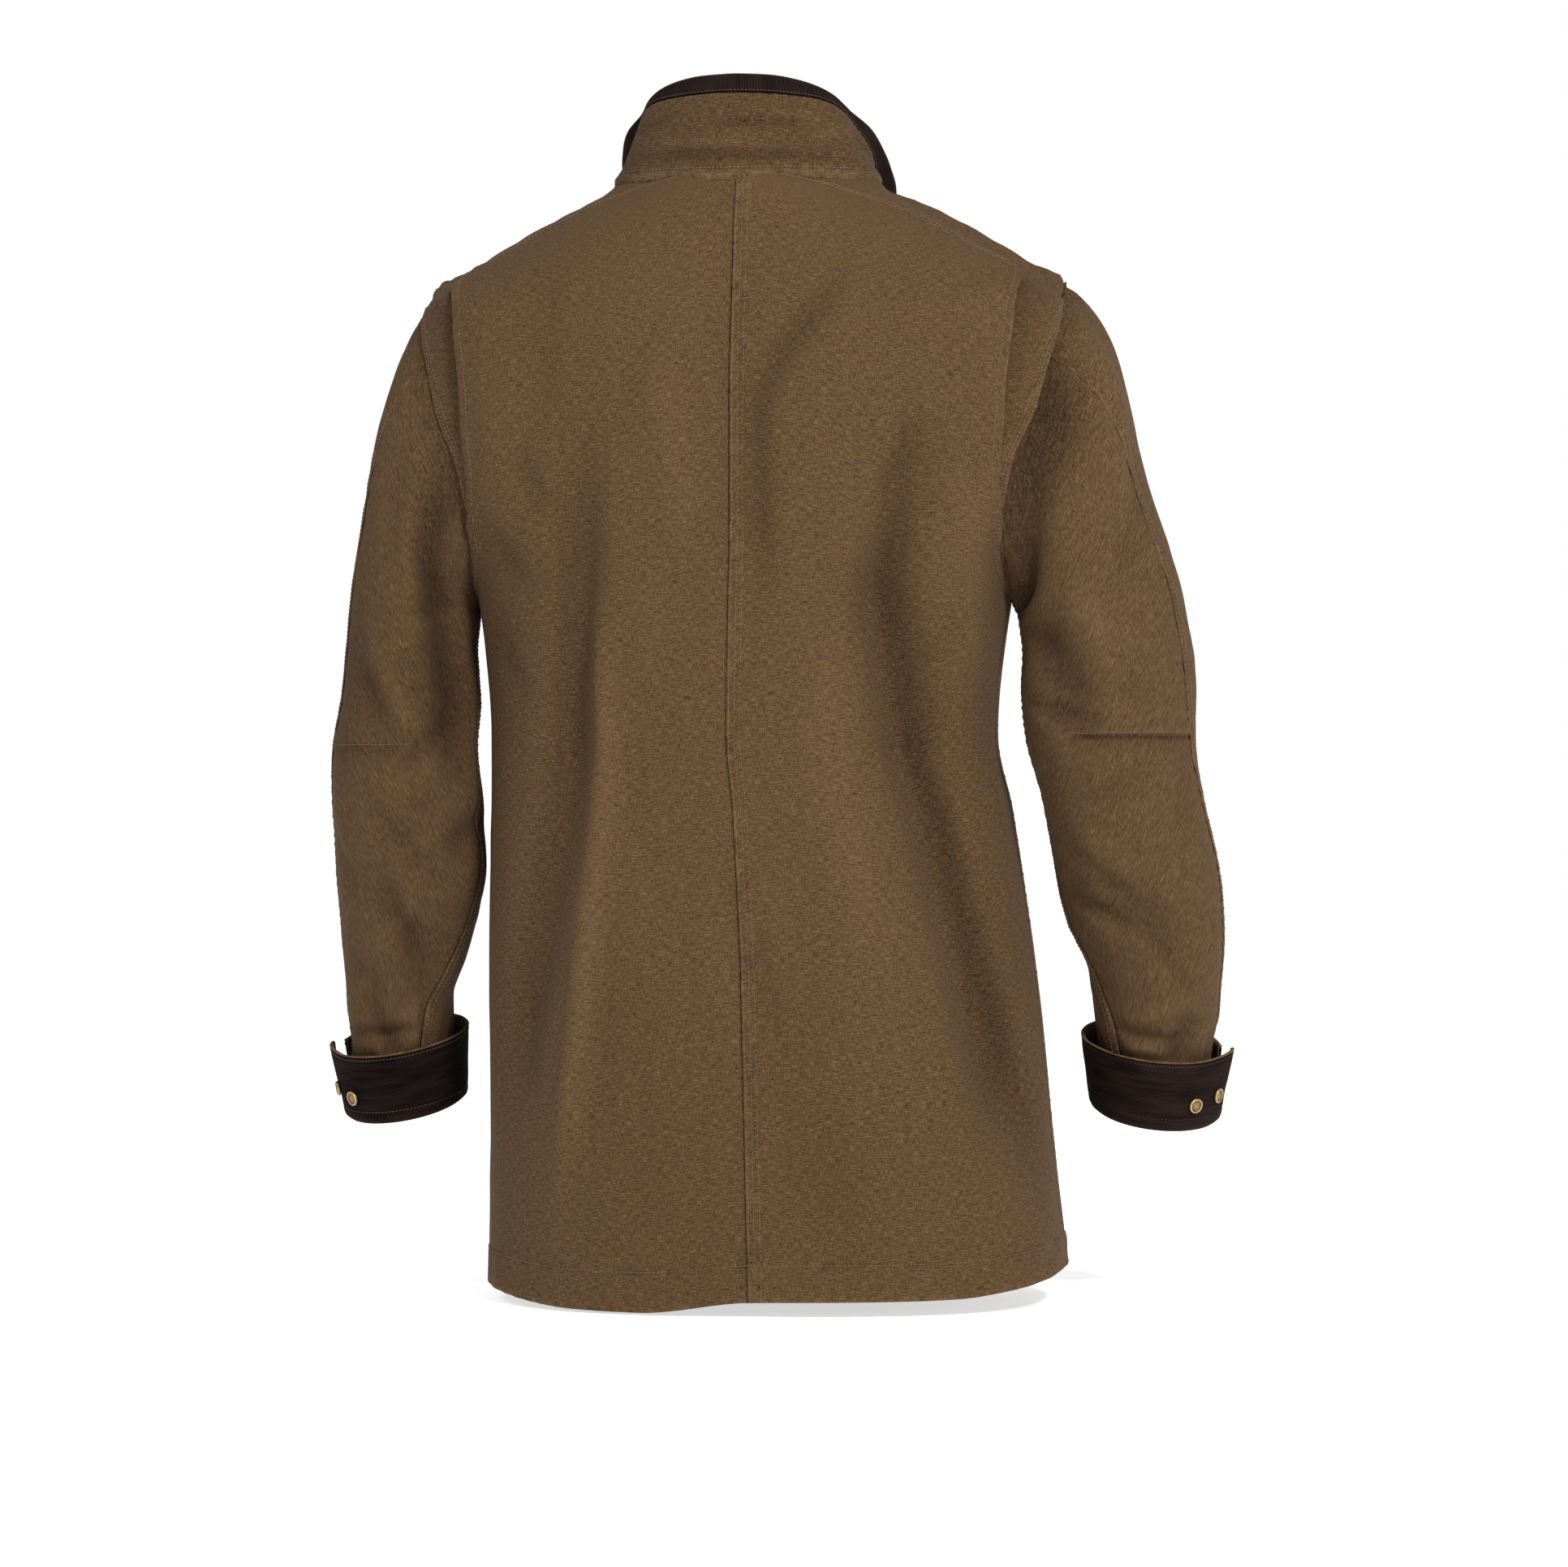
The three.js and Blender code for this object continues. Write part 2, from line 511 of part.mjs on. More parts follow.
// ---------------------------------------------------------------- sleeves
// turn: angle round a sleeve, 0 at its outer side, 90 at its back, 180 at its inner side.
function ringPoint(row, turn, sign, grow = 0) {
  const cosine = Math.cos(radians(turn));
  const sine = Math.sin(radians(turn));
  return new THREE.Vector3(
    sign * (row.x + (row.wide + grow) * cosine),
    row.y + (row.deep + grow) * sine,
    row.z + row.rise * cosine + row.lift * sine,
  );
}

// The armhole as a loop: turn 0 at the shoulder tip, 90 at the back, 180 at the armpit.
function armholePoint(turn, sign) {
  const wrapped = ((turn % 360) + 360) % 360;
  const isFront = wrapped > 180;
  const depth = isFront ? 360 - wrapped : wrapped;
  const up = lerp(ARMPIT_UP, TIP_UP, (1 + Math.cos(radians(depth))) / 2);
  const angle = edgeAngle(up, isFront ? 'armFront' : 'armBack', isFront);
  return bodyPoint(sign * angle, up);
}

const CAP = 1;                    // where a cap ends on the sleeve's length; it starts at 0
const capSwell = (sign) => (sign > 0 ? LEFT_CAP_SWELL : RIGHT_CAP_SWELL);

// A point of the sleeve. along: 0 to 1 over the cap, then 1 more for each row of the table.
function sleevePoint(table, sign, turn, along) {
  if (along >= CAP) {
    const rows = table.map((row, index) => ({ ...row, along: index + CAP }));
    return ringPoint(rowAt(rows, 'along', along), turn, sign).add(sleeveFold(turn, along, sign));
  }
  const start = armholePoint(turn, sign);
  const end = ringPoint(table[0], turn, sign);
  const next = ringPoint(table[1], turn, sign);
  const length = start.distanceTo(end);
  const sideways = Math.sin(radians(turn)) ** 2;
  const shoulder = (1 + Math.cos(radians(turn))) / 2;
  const outwards = 0.3 + 0.45 * sideways + capSwell(sign) * shoulder;
  const leave = new THREE.Vector3(sign * outwards, 0.02, -0.8).normalize();
  const arrive = next.sub(end).normalize();
  start.addScaledVector(leave, ARMHOLE_ROOM);
  const point = new THREE.Vector3();
  for (const axis of ['x', 'y', 'z']) {
    point[axis] = hermite(start[axis], end[axis], leave[axis] * length, arrive[axis] * length, along);
  }
  return point.add(sleeveFold(turn, along, sign));
}

// The main folds of a sleeve. along, turn: where each starts and ends. push, width: millimetres.
const LEFT_SLEEVE_FOLDS = [
  { along: 4.2, turn: 130, endAlong: 5.4, endTurn: 60, push: -5, width: 13 },
  { along: 6.2, turn: 60, endAlong: 8.0, endTurn: 140, push: -4, width: 13 },
  { along: 8.2, turn: 60, endAlong: 9.8, endTurn: 95, push: -6, width: 12 },
  { along: 5.0, turn: 190, endAlong: 5.6, endTurn: 120, push: -7, width: 14 },
];
const RIGHT_SLEEVE_FOLDS = [
  { along: 0.35, turn: 70, endAlong: 1.2, endTurn: 140, push: -8, width: 15 },
  { along: 1.9, turn: 165, endAlong: 3.6, endTurn: 105, push: -8, width: 18 },
  { along: 6.0, turn: 110, endAlong: 7.2, endTurn: 60, push: -4, width: 14 },
  { along: 8.6, turn: 50, endAlong: 9.8, endTurn: 70, push: -7, width: 13 },
];

function sleeveFold(turn, along, sign) {
  const folds = sign > 0 ? LEFT_SLEEVE_FOLDS : RIGHT_SLEEVE_FOLDS;
  const wrapped = ((turn % 360) + 360) % 360;
  let push = 0;
  for (const fold of folds) {
    const reach = (fold.endAlong - fold.along) * SLEEVE_ROW_LENGTH;
    const across = radians(fold.endTurn - fold.turn) * SLEEVE_RADIUS;
    const dAlong = (along - fold.along) * SLEEVE_ROW_LENGTH;
    const dAcross = radians(wrapped - fold.turn) * SLEEVE_RADIUS;
    const length = Math.hypot(reach, across);
    const share = (dAlong * reach + dAcross * across) / (length * length);
    const off = (dAcross * reach - dAlong * across) / length;
    const ends = smooth(-0.15, 0.3, share) * (1 - smooth(0.7, 1.15, share));
    push += fold.push * ends * Math.exp(-((off / fold.width) ** 2));
  }
  return new THREE.Vector3(sign * Math.cos(radians(turn)) * push, Math.sin(radians(turn)) * push, 0);
}

// Where the seams run. back: the back seam's turn. inner: the inner seam's turn.
const SLEEVE_SEAMS = [
  { along: 0, back: 45, inner: 180 },
  { along: 0.5, back: 38, inner: 180 },
  { along: 1, back: 30, inner: 180 },
  { along: 3, back: 25, inner: 180 },
  { along: 4, back: 18, inner: 180 },
  { along: 5, back: 10, inner: 178 },
  { along: 7, back: 5, inner: 158 },
  { along: 9, back: 4, inner: 130 },
  { along: 11, back: 4, inner: 117 },
];

const CAP_RINGS = [0, 0.1, 0.22, 0.36, 0.52, 0.68, 0.84];
const ARM_STEPS = steps(17, CAP, SLEEVE_END);

function sleevePiece(name, table, sign, startTurn, endTurn, columns) {
  const surface = (turn, along) => sleevePoint(table, sign, turn, along);
  const outer = [];
  const inner = [];
  for (const share of steps(columns)) {
    const outerColumn = [];
    const innerColumn = [];
    for (const along of [...CAP_RINGS, ...ARM_STEPS]) {
      const room = SEAM_TURN + CAP_SEAM_TURN * (1 - smooth(0, 0.3, along));
      const start = startTurn(along) + room;
      const end = endTurn(along) - room;
      const turn = lerp(start, end, share);
      const point = surface(turn, along);
      const from = clamp(along, 0.02, SLEEVE_END - 0.02);
      const normal = normalOf(surface, turn, from, -sign, 1, 0.01);
      outerColumn.push(point);
      innerColumn.push(point.clone().addScaledVector(normal, -CANVAS));
    }
    outer.push(outerColumn);
    inner.push(innerColumn);
  }
  if (sign > 0) {
    outer.reverse();
    inner.reverse();
  }
  pieceOf(name, wall(outer, inner), CANVAS_BROWN);
}

const seamTurn = (column) => (along) => rowAt(SLEEVE_SEAMS, 'along', along)[column];

for (const [side, sign, table] of [['left', 1, LEFT_SLEEVE], ['right', -1, RIGHT_SLEEVE]]) {
  const fullTurnBack = (along) => seamTurn('inner')(along) - 360;
  sleevePiece(`sleeve_top_${side}`, table, sign, fullTurnBack, seamTurn('back'), 11);
  sleevePiece(`sleeve_under_${side}`, table, sign, seamTurn('back'), seamTurn('inner'), 9);
}

// ---------------------------------------------------------------- cuffs
// Each cuff is the sleeve's end turned back up. It goes round the wrist from its under end to its
// free end, which lies at the outer side, a little further out, and has a corner that stands off.
function wristRow(table, height) {
  const foot = table[table.length - 1];
  const above = table[table.length - 2];
  const share = height / (above.z - foot.z);
  const row = {};
  for (const column of Object.keys(foot)) row[column] = lerp(foot[column], above[column], share);
  return row;
}

// A point of the cuff. turn: as on the sleeves. height: above the sleeve's end. out: off the cuff's
// middle, or off the sleeve's outside where held is 1.
function cuffPoint(table, sign, turn, { height, out, held = 0 }) {
  const wound = (CUFF_UNDER - turn) / (CUFF_UNDER - CUFF_FREE);
  const corner = smooth(0.9, 1, wound) * smooth(0.2, 1, height / CUFF_HEIGHT);
  const band = CUFF_ROOM + CUFF_SPIRAL * wound + CUFF_FLARE * (height / CUFF_HEIGHT) + CUFF_CORNER * corner;
  return ringPoint(wristRow(table, height), turn, sign, lerp(band, 0, held) + out);
}

// The two faces of each cuff wall, row by row, from the lip below the sleeve's end to the top.
const CUFF_CORDUROY = {
  near: [
    { height: -0.5, out: -1.6, held: 1 },
    { height: -0.5, out: -2.6 },
    { height: 1.2, out: 0 },
    { height: 20, out: 0 },
    { height: 37, out: 0 },
    { height: CUFF_HEIGHT, out: 0 },
  ],
  far: [
    { height: -2.1, out: -1.6, held: 1 },
    { height: -2.1, out: -2.2 },
    { height: 0.6, out: CORDUROY },
    { height: 20, out: CORDUROY },
    { height: 37, out: CORDUROY },
    { height: CUFF_HEIGHT, out: CORDUROY },
  ],
};
const CUFF_BACKING = {
  near: [
    { height: 8, out: -SEAM_GAP - 1.2 },
    { height: 20, out: -SEAM_GAP - 1.2 },
    { height: 37, out: -SEAM_GAP - 1.2 },
    { height: CUFF_HEIGHT + 1.6, out: -SEAM_GAP - 1.2 },
    { height: CUFF_HEIGHT + 1.6, out: CORDUROY },
  ],
  far: [
    { height: 8, out: -SEAM_GAP },
    { height: 20, out: -SEAM_GAP },
    { height: 37, out: -SEAM_GAP },
    { height: CUFF_HEIGHT + SEAM_GAP, out: -SEAM_GAP },
    { height: CUFF_HEIGHT + SEAM_GAP, out: CORDUROY },
  ],
};

function cuffWall(table, sign, faces) {
  const turns = steps(26, CUFF_FREE, CUFF_UNDER);
  const gridOf = (rows) => turns.map((turn) => rows.map((row) => cuffPoint(table, sign, turn, row)));
  const far = gridOf(faces.far);
  const near = gridOf(faces.near);
  if (sign < 0) {
    far.reverse();
    near.reverse();
  }
  return wall(far, near);
}

// ---------------------------------------------------------------- snaps
// A domed cap with a raised rim, lying on a surface at a point with an outward normal.
function snapCap(name, point, normal) {
  const radius = SNAP_DIAMETER / 2;
  const profile = [
    [0, 0], [radius, 0.2], [radius, 1.4], [radius - 1, 1.8], [radius - 1.9, 1.3], [0, 1.9],
  ].map(([x, y]) => new THREE.Vector2(x, y * (SNAP_HEIGHT / 1.9)));
  const geometry = new THREE.LatheGeometry(profile, 14);
  const cap = pieceOf(name, geometry, ANTIQUE_BRASS);
  cap.quaternion.setFromUnitVectors(new THREE.Vector3(0, 1, 0), normal);
  cap.position.copy(point).addScaledVector(normal, SNAP_SEAT);
}

const CUFF_SNAPS = [
  { turn: 50, height: 19 },
  { turn: 22, height: 23 },
];

for (const [side, sign, table] of [['left', 1, LEFT_SLEEVE], ['right', -1, RIGHT_SLEEVE]]) {
  pieceOf(`cuff_facing_${side}`, cuffWall(table, sign, CUFF_CORDUROY), CORDUROY_BROWN);
  pieceOf(`cuff_canvas_${side}`, cuffWall(table, sign, CUFF_BACKING), CANVAS_BROWN);
  CUFF_SNAPS.forEach(({ turn, height }, index) => {
    const face = (a, h) => cuffPoint(table, sign, a, { height: h, out: CORDUROY });
    const normal = normalOf(face, turn, height, sign, 1, 1);
    snapCap(`snap_cuff_${side}_${index + 1}`, face(turn, height), normal);
  });
}

for (let index = 0; index < FRONT_SNAPS; index += 1) {
  const up = lerp(FIRST_SNAP_UP, LAST_SNAP_UP, index / (FRONT_SNAPS - 1));
  snapCap(`snap_front_${index + 1}`, bodyPoint(180, up), bodyNormal(180, up));
}

export default coat;
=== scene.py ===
# %% [markdown]
# # A field coat, seen from behind
# This lesson dresses a hollow canvas coat in Blender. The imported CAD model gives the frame: where
# the coat is and how big each piece is. Here each piece of cloth is made again as a fine thin shell
# with its folds, then sewn with real little stitches and given woven materials.

import math

import bpy
import numpy as np
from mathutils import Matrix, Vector
from mathutils.bvhtree import BVHTree


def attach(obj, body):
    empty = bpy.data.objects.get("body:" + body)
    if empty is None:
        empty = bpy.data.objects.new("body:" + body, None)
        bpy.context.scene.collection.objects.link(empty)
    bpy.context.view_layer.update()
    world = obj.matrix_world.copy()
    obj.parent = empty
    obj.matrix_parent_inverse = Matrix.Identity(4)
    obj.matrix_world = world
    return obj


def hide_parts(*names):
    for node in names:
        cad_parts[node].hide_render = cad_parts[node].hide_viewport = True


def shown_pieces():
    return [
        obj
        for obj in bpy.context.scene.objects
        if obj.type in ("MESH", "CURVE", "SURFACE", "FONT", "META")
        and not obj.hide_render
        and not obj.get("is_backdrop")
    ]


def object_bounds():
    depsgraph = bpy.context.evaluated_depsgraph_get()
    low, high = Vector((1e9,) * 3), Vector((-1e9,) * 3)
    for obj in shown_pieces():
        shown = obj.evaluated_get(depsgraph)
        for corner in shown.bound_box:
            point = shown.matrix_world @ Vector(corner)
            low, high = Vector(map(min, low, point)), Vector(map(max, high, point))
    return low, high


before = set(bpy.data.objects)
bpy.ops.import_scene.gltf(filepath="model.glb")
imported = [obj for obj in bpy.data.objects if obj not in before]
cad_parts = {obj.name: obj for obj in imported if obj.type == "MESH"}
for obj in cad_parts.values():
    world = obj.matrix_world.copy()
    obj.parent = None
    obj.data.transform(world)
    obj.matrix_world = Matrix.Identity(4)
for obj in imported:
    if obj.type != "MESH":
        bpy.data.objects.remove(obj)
cad_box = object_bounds()
MM = 0.001
FINE = 1.0
SIDES = {"left": 1, "right": -1}     # the sign of x on each side
print("CAD nodes:", len(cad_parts))

# %% [markdown]
# ## Sizes of the coat
# A tailor starts from a table of measurements, and so does this coat. Each row of a table is one
# ring of the body or of a sleeve, in millimetres, and a smooth curve through the rows gives every
# size in between. These are the same few rows that the CAD model is made from, so that the
# cloth lies on its solids with no fitting.

# %% Sizes of the body
CLOTH = 1.2                  # thickness of the shells of cloth
CANVAS = 1.6                 # thickness of a canvas wall of the solids
CORDUROY = 1.6               # thickness of a corduroy wall of the solids
SEAM_GAP = 0.3               # room between two pieces at a seam
ARMHOLE_ROOM = 2.6           # room between the armhole's edge and the sleeve's
HEM_LEVEL = -871             # height of the hem at the centre of the back
NECK_UP = 878                # centre back, from the hem to the collar seam
ARMPIT_UP = 541              # where the armholes start on that length
TIP_UP = 717                 # where they end, at the shoulder tip
PLEAT_UP = 606               # where the pleat opens
FRONT_LAP = 22               # how far each front runs past the centre
PLEAT_UNDERLAP = 16          # what the pleat strip keeps under the back panel
PLEAT_LIFT = 4.2             # how far the pleat's edge stands off the strip
RIDGE_RUN = 26               # how far in front of its seam the shoulder's ridge is full
HEM_SHARE = 200              # how far up the coat the hem's own curve is felt
FOLD_REACH = 2.2             # how far round to the sides the folds keep their depth

BODY = {
    "up":       [0, 116, 245, 374, 435, 541, 590, 635, 671, 698, 717, 751, 784, 817, 846, 865, 878],
    "side":     [230, 224, 218, 208, 202, 212, 231, 252, 262, 262, 253, 228, 195, 160, 130, 114, 105],
    "sway":     [-25, -20, -13, -4, 2, 1, 0, 0, 0, 0, 0, 0, 0, 0, 0, 0, 0],
    "mid":      [0, 0, 0, 0, 0, 0, 2, 5, 9, 13, 15, 12, 8, 4, 1, -4, -9],
    "back":     [160, 155, 150, 138, 131, 127, 127.5, 127, 125, 122, 119, 113, 106, 98, 90, 84, 80],
    "front":    [158, 152, 146, 138, 134, 131, 131, 129, 127, 125, 123, 118, 113, 108, 103, 100, 98],
    "side_z":   [-871, -755, -626, -497, -436, -330, -280, -226, -176, -130, -94, -78, -56, -34, -17, -7, 3],
    "back_z":   [-871, -755, -626, -497, -436, -330, -281, -236, -200,
                 -173, -155, -122, -90, -58, -30, -12, 0],
    "front_z":  [-871, -755, -626, -497, -436, -330, -285, -246, -216,
                 -193, -178, -152, -130, -111, -95, -86, -80],
    "round":    [2.3, 2.3, 2.3, 2.3, 2.3, 2.4, 2.4, 2.4, 2.4, 2.4, 2.4, 2.35, 2.3, 2.2, 2.1, 2.05, 2],
    "ridge":    [0, 0, 0, 0, 0, 0, 0, 2, 10, 15, 20, 17, 16, 14, 11, 6, 0],
    "arm_back": [1, 1, 1, 1, 1, 1, 0.905, 0.87, 0.912, 0.957, 1, 0.99, 0.972, 0.94, 0.87, 0.72, 0.365],
    "arm_front": [1, 1, 1, 1, 1, 1, 0.9, 0.85, 0.88, 0.95, 1, 1, 1, 1, 1, 1, 1],
    "pleat":    [1, 1, 1, 1, 1, 1, 0.905, 0.832, 0.815, 0.832, 0.873, 0.968, 1, 1, 1, 1, 1],
}
HEM = {
    "angle": [-180, -120, -90, -65, -50, 0, 30, 45, 75, 90, 120, 180],
    "z":     [-862, -856, -854, -865, -870, -871.5, -881, -880.5, -871, -867, -864, -862],
}
print("the hem hangs between these heights, mm:", min(HEM["z"]), max(HEM["z"]))

# %% Smooth curves through a table
def slopes_of(keys, values):
    """The slope of a column at each row: flat at a peak, and never so steep that it overshoots."""
    steps = np.diff(values) / np.diff(keys)
    slopes = np.zeros(len(values))
    slopes[0], slopes[-1] = steps[0], steps[-1]
    before, after = steps[:-1], steps[1:]
    same_way = before * after > 0
    total = np.where(same_way, before + after, 1)
    slopes[1:-1] = np.where(same_way, 2 * before * after / total, 0)
    return slopes


def hermite(start, end, start_slope, end_slope, share):
    s2, s3 = share ** 2, share ** 3
    return ((2 * s3 - 3 * s2 + 1) * start + (s3 - 2 * s2 + share) * start_slope
            + (3 * s2 - 2 * s3) * end + (s3 - s2) * end_slope)


def column(table, key, name, value):
    """One column of a table, on its smooth curve, at any values of the key column."""
    keys, values = np.array(table[key], float), np.array(table[name], float)
    value = np.clip(value, keys[0], keys[-1])
    low = np.clip(np.searchsorted(keys, value, side="right") - 1, 0, len(keys) - 2)
    gap = keys[low + 1] - keys[low]
    slopes = slopes_of(keys, values)
    return hermite(values[low], values[low + 1], slopes[low] * gap, slopes[low + 1] * gap,
                   (value - keys[low]) / gap)


def rows_of(table):
    """The rows of a table, one dictionary each."""
    return [dict(zip(table, values)) for values in zip(*table.values())]


def smooth(start, end, value):
    share = np.clip((value - start) / (end - start), 0, 1)
    return share * share * (3 - 2 * share)


def lerp(start, end, share):
    return start + (end - start) * share


def sine(degrees):
    return np.sin(np.radians(degrees))


def cosine(degrees):
    return np.cos(np.radians(degrees))


def unit(vectors):
    return vectors / np.maximum(np.linalg.norm(vectors, axis=-1, keepdims=True), 1e-9)


print("hem sweep, mm:", round(2 * math.pi * math.sqrt((230 ** 2 + 159 ** 2) / 2)))

# %% [markdown]
# ## The body's surface
# A worn coat hangs from the shoulders, so every ring is a soft, slightly squared oval. The big
# folds are troughs and ridges that run down it: each has a top, a middle and an end, a depth and
# a width. The solids have them too, a few of them a little to one side of where they lie here.

# %% The body's surface and its main folds
BACK_FOLDS = {
    "top_z": [-170, -50, -130, -290, -170, -330, -540, -220, -250, -380],
    "top_x": [-152, -92, 62, 101, 113, -80, -4, -186, -214, -150],
    "mid_z": [-320, -195, -205, -450, -440, -480, -700, -300, -360, -560],
    "mid_x": [-124, -22, 44, 91, 122, -84, -35, -190, -211, -186],
    "end_z": [-850, -360, -310, -862, -780, -660, -871, -430, -480, -790],
    "end_x": [-223, -30, 34, 162, 205, -118, -66, -198, -208, -236],
    "push":  [-23, -8, 4, 9, -13, 6, -5, 6, -7, 6],
    "width": [21, 13, 18, 12, 18, 22, 18, 17, 13, 9],
}
FRONT_FOLDS = {
    "top_z": [-230, -250, -420, -400],
    "top_x": [-130, 125, 70, -72],
    "mid_z": [-420, -460, -600, -600],
    "mid_x": [-120, 128, 76, -80],
    "end_z": [-760, -800, -850, -850],
    "end_x": [-150, 150, 84, -92],
    "push":  [-8, -8, 5, 5],
    "width": [26, 26, 24, 24],
}
print("main folds:", len(BACK_FOLDS["push"]) + len(FRONT_FOLDS["push"]))

# %% Points of the body
def fold_push(folds, x, z):
    """How far the main folds of one table push the cloth out at a place."""
    push = np.zeros(np.shape(x))
    for fold in rows_of(folds):
        length = fold["top_z"] - fold["end_z"]
        middle = (fold["top_z"] - fold["mid_z"]) / length
        share = (fold["top_z"] - z) / length
        upper = lerp(fold["top_x"], fold["mid_x"], smooth(0, 1, share / middle))
        lower = lerp(fold["mid_x"], fold["end_x"], (share - middle) / (1 - middle))
        off = x - np.where(share < middle, upper, lower)
        ends = smooth(0, 0.25, share) * smooth(0, 0.3, 1 - share)
        push += fold["push"] * ends * np.exp(-(off / fold["width"]) ** 2)
    return push


def body_point(angle, up):
    """A point of the body's outside. angle: from the centre back, positive to the left."""
    angle, up = np.broadcast_arrays(np.asarray(angle, float), np.asarray(up, float))
    row = {name: column(BODY, "up", name, up) for name in BODY if name != "up"}
    across, back = sine(angle), cosine(angle)
    depth = np.where(back >= 0, row["back"] - row["mid"], row["front"] + row["mid"])
    inverse = (np.abs(across) / row["side"]) ** row["round"] + (np.abs(back) / depth) ** row["round"]
    reach = inverse ** (-1 / row["round"])
    x = reach * across
    y = row["mid"] + reach * back
    crest = row["side_z"] + row["ridge"] * smooth(0, RIDGE_RUN, row["mid"] - y)
    behind = lerp(row["side_z"], row["back_z"], back ** 2)
    before = lerp(crest, row["front_z"], back ** 2)
    z = np.where(back < 0, before, behind)
    z = z + (column(HEM, "angle", "z", angle) - HEM_LEVEL) * np.maximum(0, 1 - up / HEM_SHARE) ** 2
    push = np.where(back >= 0, fold_push(BACK_FOLDS, x, z), fold_push(FRONT_FOLDS, x, z))
    push = push * np.minimum(1, np.abs(back) * FOLD_REACH)
    away_x, away_y = across / row["side"], back / depth
    size = np.hypot(away_x, away_y)
    return np.stack([x + row["sway"] + away_x / size * push, y + away_y / size * push, z], axis=-1)


def normal_of(surface, a, b, sense, step_a, step_b):
    """The outward normal of surface(a, b). sense is 1 where da x db points outwards."""
    along_a = surface(a + step_a, b) - surface(a - step_a, b)
    along_b = surface(a, b + step_b) - surface(a, b - step_b)
    return unit(np.cross(along_a, along_b) * sense)


def body_normal(angle, up):
    return normal_of(body_point, angle, np.clip(up, 1, NECK_UP - 1), -1, 0.5, 1)


def angle_at_share(up, share, is_front):
    """The angle at which a ring reaches a share of its half-width, behind or before its side."""
    row = {name: column(BODY, "up", name, up) for name in ("side", "mid", "back", "front", "round")}
    kept = np.clip(share, 0, 1)
    whole = row["front"] + row["mid"] if is_front else row["back"] - row["mid"]
    depth = whole * (1 - kept ** row["round"]) ** (1 / row["round"])
    angle = np.degrees(np.arctan2(row["side"] * kept, depth))
    return 180 - angle if is_front else angle


def edge_angle(up, name, is_front=False):
    return angle_at_share(up, column(BODY, "up", name, up), is_front)


def pleat_angle(up):
    return np.minimum(edge_angle(up, "pleat"), edge_angle(up, "arm_back"))


def front_edge(up):
    return np.where(up <= TIP_UP, edge_angle(up, "arm_front", True), edge_angle(up, "arm_back"))


def body_reach(angle, up):
    point = body_point(angle, up)
    return np.hypot(point[..., 0], point[..., 1])


def lap_angle(up, past):
    depth = np.abs(body_point(180, up)[..., 1])
    return 180 + np.sign(past) * np.degrees(np.arctan2(abs(past), depth))


print("back depth at the hem, mm:", np.round(body_point(0, 0), 1))

# %% [markdown]
# ## Creases, puckers and the cloth's own unevenness
# Canvas doesn't drape like silk. It buckles into short soft creases that start at a seam, are
# steeper on one side, and fade out. They are placed here, each from one point to another.
# Low rolling waves on top keep any stretch of cloth from being perfectly smooth.

# %% Finer creases
WAVE_GRID = 64               # points along each side of a field of random waves


def waves(across, along, size_across, size_along, seed):
    """Rolling unevenness from -1 to 1, with waves of these sizes. The seed makes it repeatable."""
    heights = np.random.RandomState(seed).uniform(-1, 1, (WAVE_GRID, WAVE_GRID))
    a, b = np.asarray(across) / size_across, np.asarray(along) / size_along
    a0, b0 = np.floor(a).astype(int), np.floor(b).astype(int)
    ta, tb = smooth(0, 1, a - a0), smooth(0, 1, b - b0)
    a1, b1 = (a0 + 1) % WAVE_GRID, (b0 + 1) % WAVE_GRID
    a0, b0 = a0 % WAVE_GRID, b0 % WAVE_GRID
    low = lerp(heights[a0, b0], heights[a1, b0], ta)
    high = lerp(heights[a0, b1], heights[a1, b1], ta)
    return lerp(low, high, tb)


def crease_push(creases, x, z, lean=0.25, ends=(-0.08, 0.35, 0.6, 1.08)):
    """The push of creases from one place to another, with a sideways bow and one steeper side."""
    push = np.zeros(np.shape(x))
    for crease in rows_of(creases):
        run_x, run_z = crease["to_x"] - crease["x"], crease["to_z"] - crease["z"]
        length = math.hypot(run_x, run_z)
        share = ((x - crease["x"]) * run_x + (z - crease["z"]) * run_z) / length ** 2
        off = ((x - crease["x"]) * run_z - (z - crease["z"]) * run_x) / length
        bent = off - crease.get("bow", 0) * 4 * share * (1 - share)
        width = crease["width"] * np.where(bent > 0, 1 - lean, 1 + lean)
        fade = smooth(ends[0], ends[1], share) * (1 - smooth(ends[2], ends[3], share))
        push += crease["push"] * fade * np.exp(-(bent / width) ** 2)
    return push


BACK_CREASES = {
    "x":     [-150, -128, -196, -172, 168, 196, 210, 146, 62, -12, -34, 92, -210, 150, 20, -64, 60, -190],
    "z":     [-182, -212, -330, -420, -208, -262, -340, -60, -300,
              -60, -560, -470, -560, -600, -560, -700, -100, -700],
    "to_x":  [-112, -104, -150, -118, 128, 150, 158, 142, 64, 14, -60, 70, -170, 176, 6, -76, 86, -215],
    "to_z":  [-262, -330, -392, -452, -268, -330, -420, -196, -430,
              -150, -800, -640, -760, -760, -720, -850, -210, -830],
    "bow":   [6, -4, 8, 6, -8, -6, 8, 3, 4, 5, -8, 6, 8, -8, 6, 4, 5, -6],
    "push":  [-4.5, 3.5, -3, -2.6, -3.5, -3, -2.5, -2, 2.2, -1.8, 2.2, 2, -2.6, -2.4, 1.6, -1.8, -1.8, 2.4],
    "width": [10, 9, 12, 11, 11, 12, 11, 14, 16, 12, 14, 15, 14, 13, 15, 13, 13, 12],
}
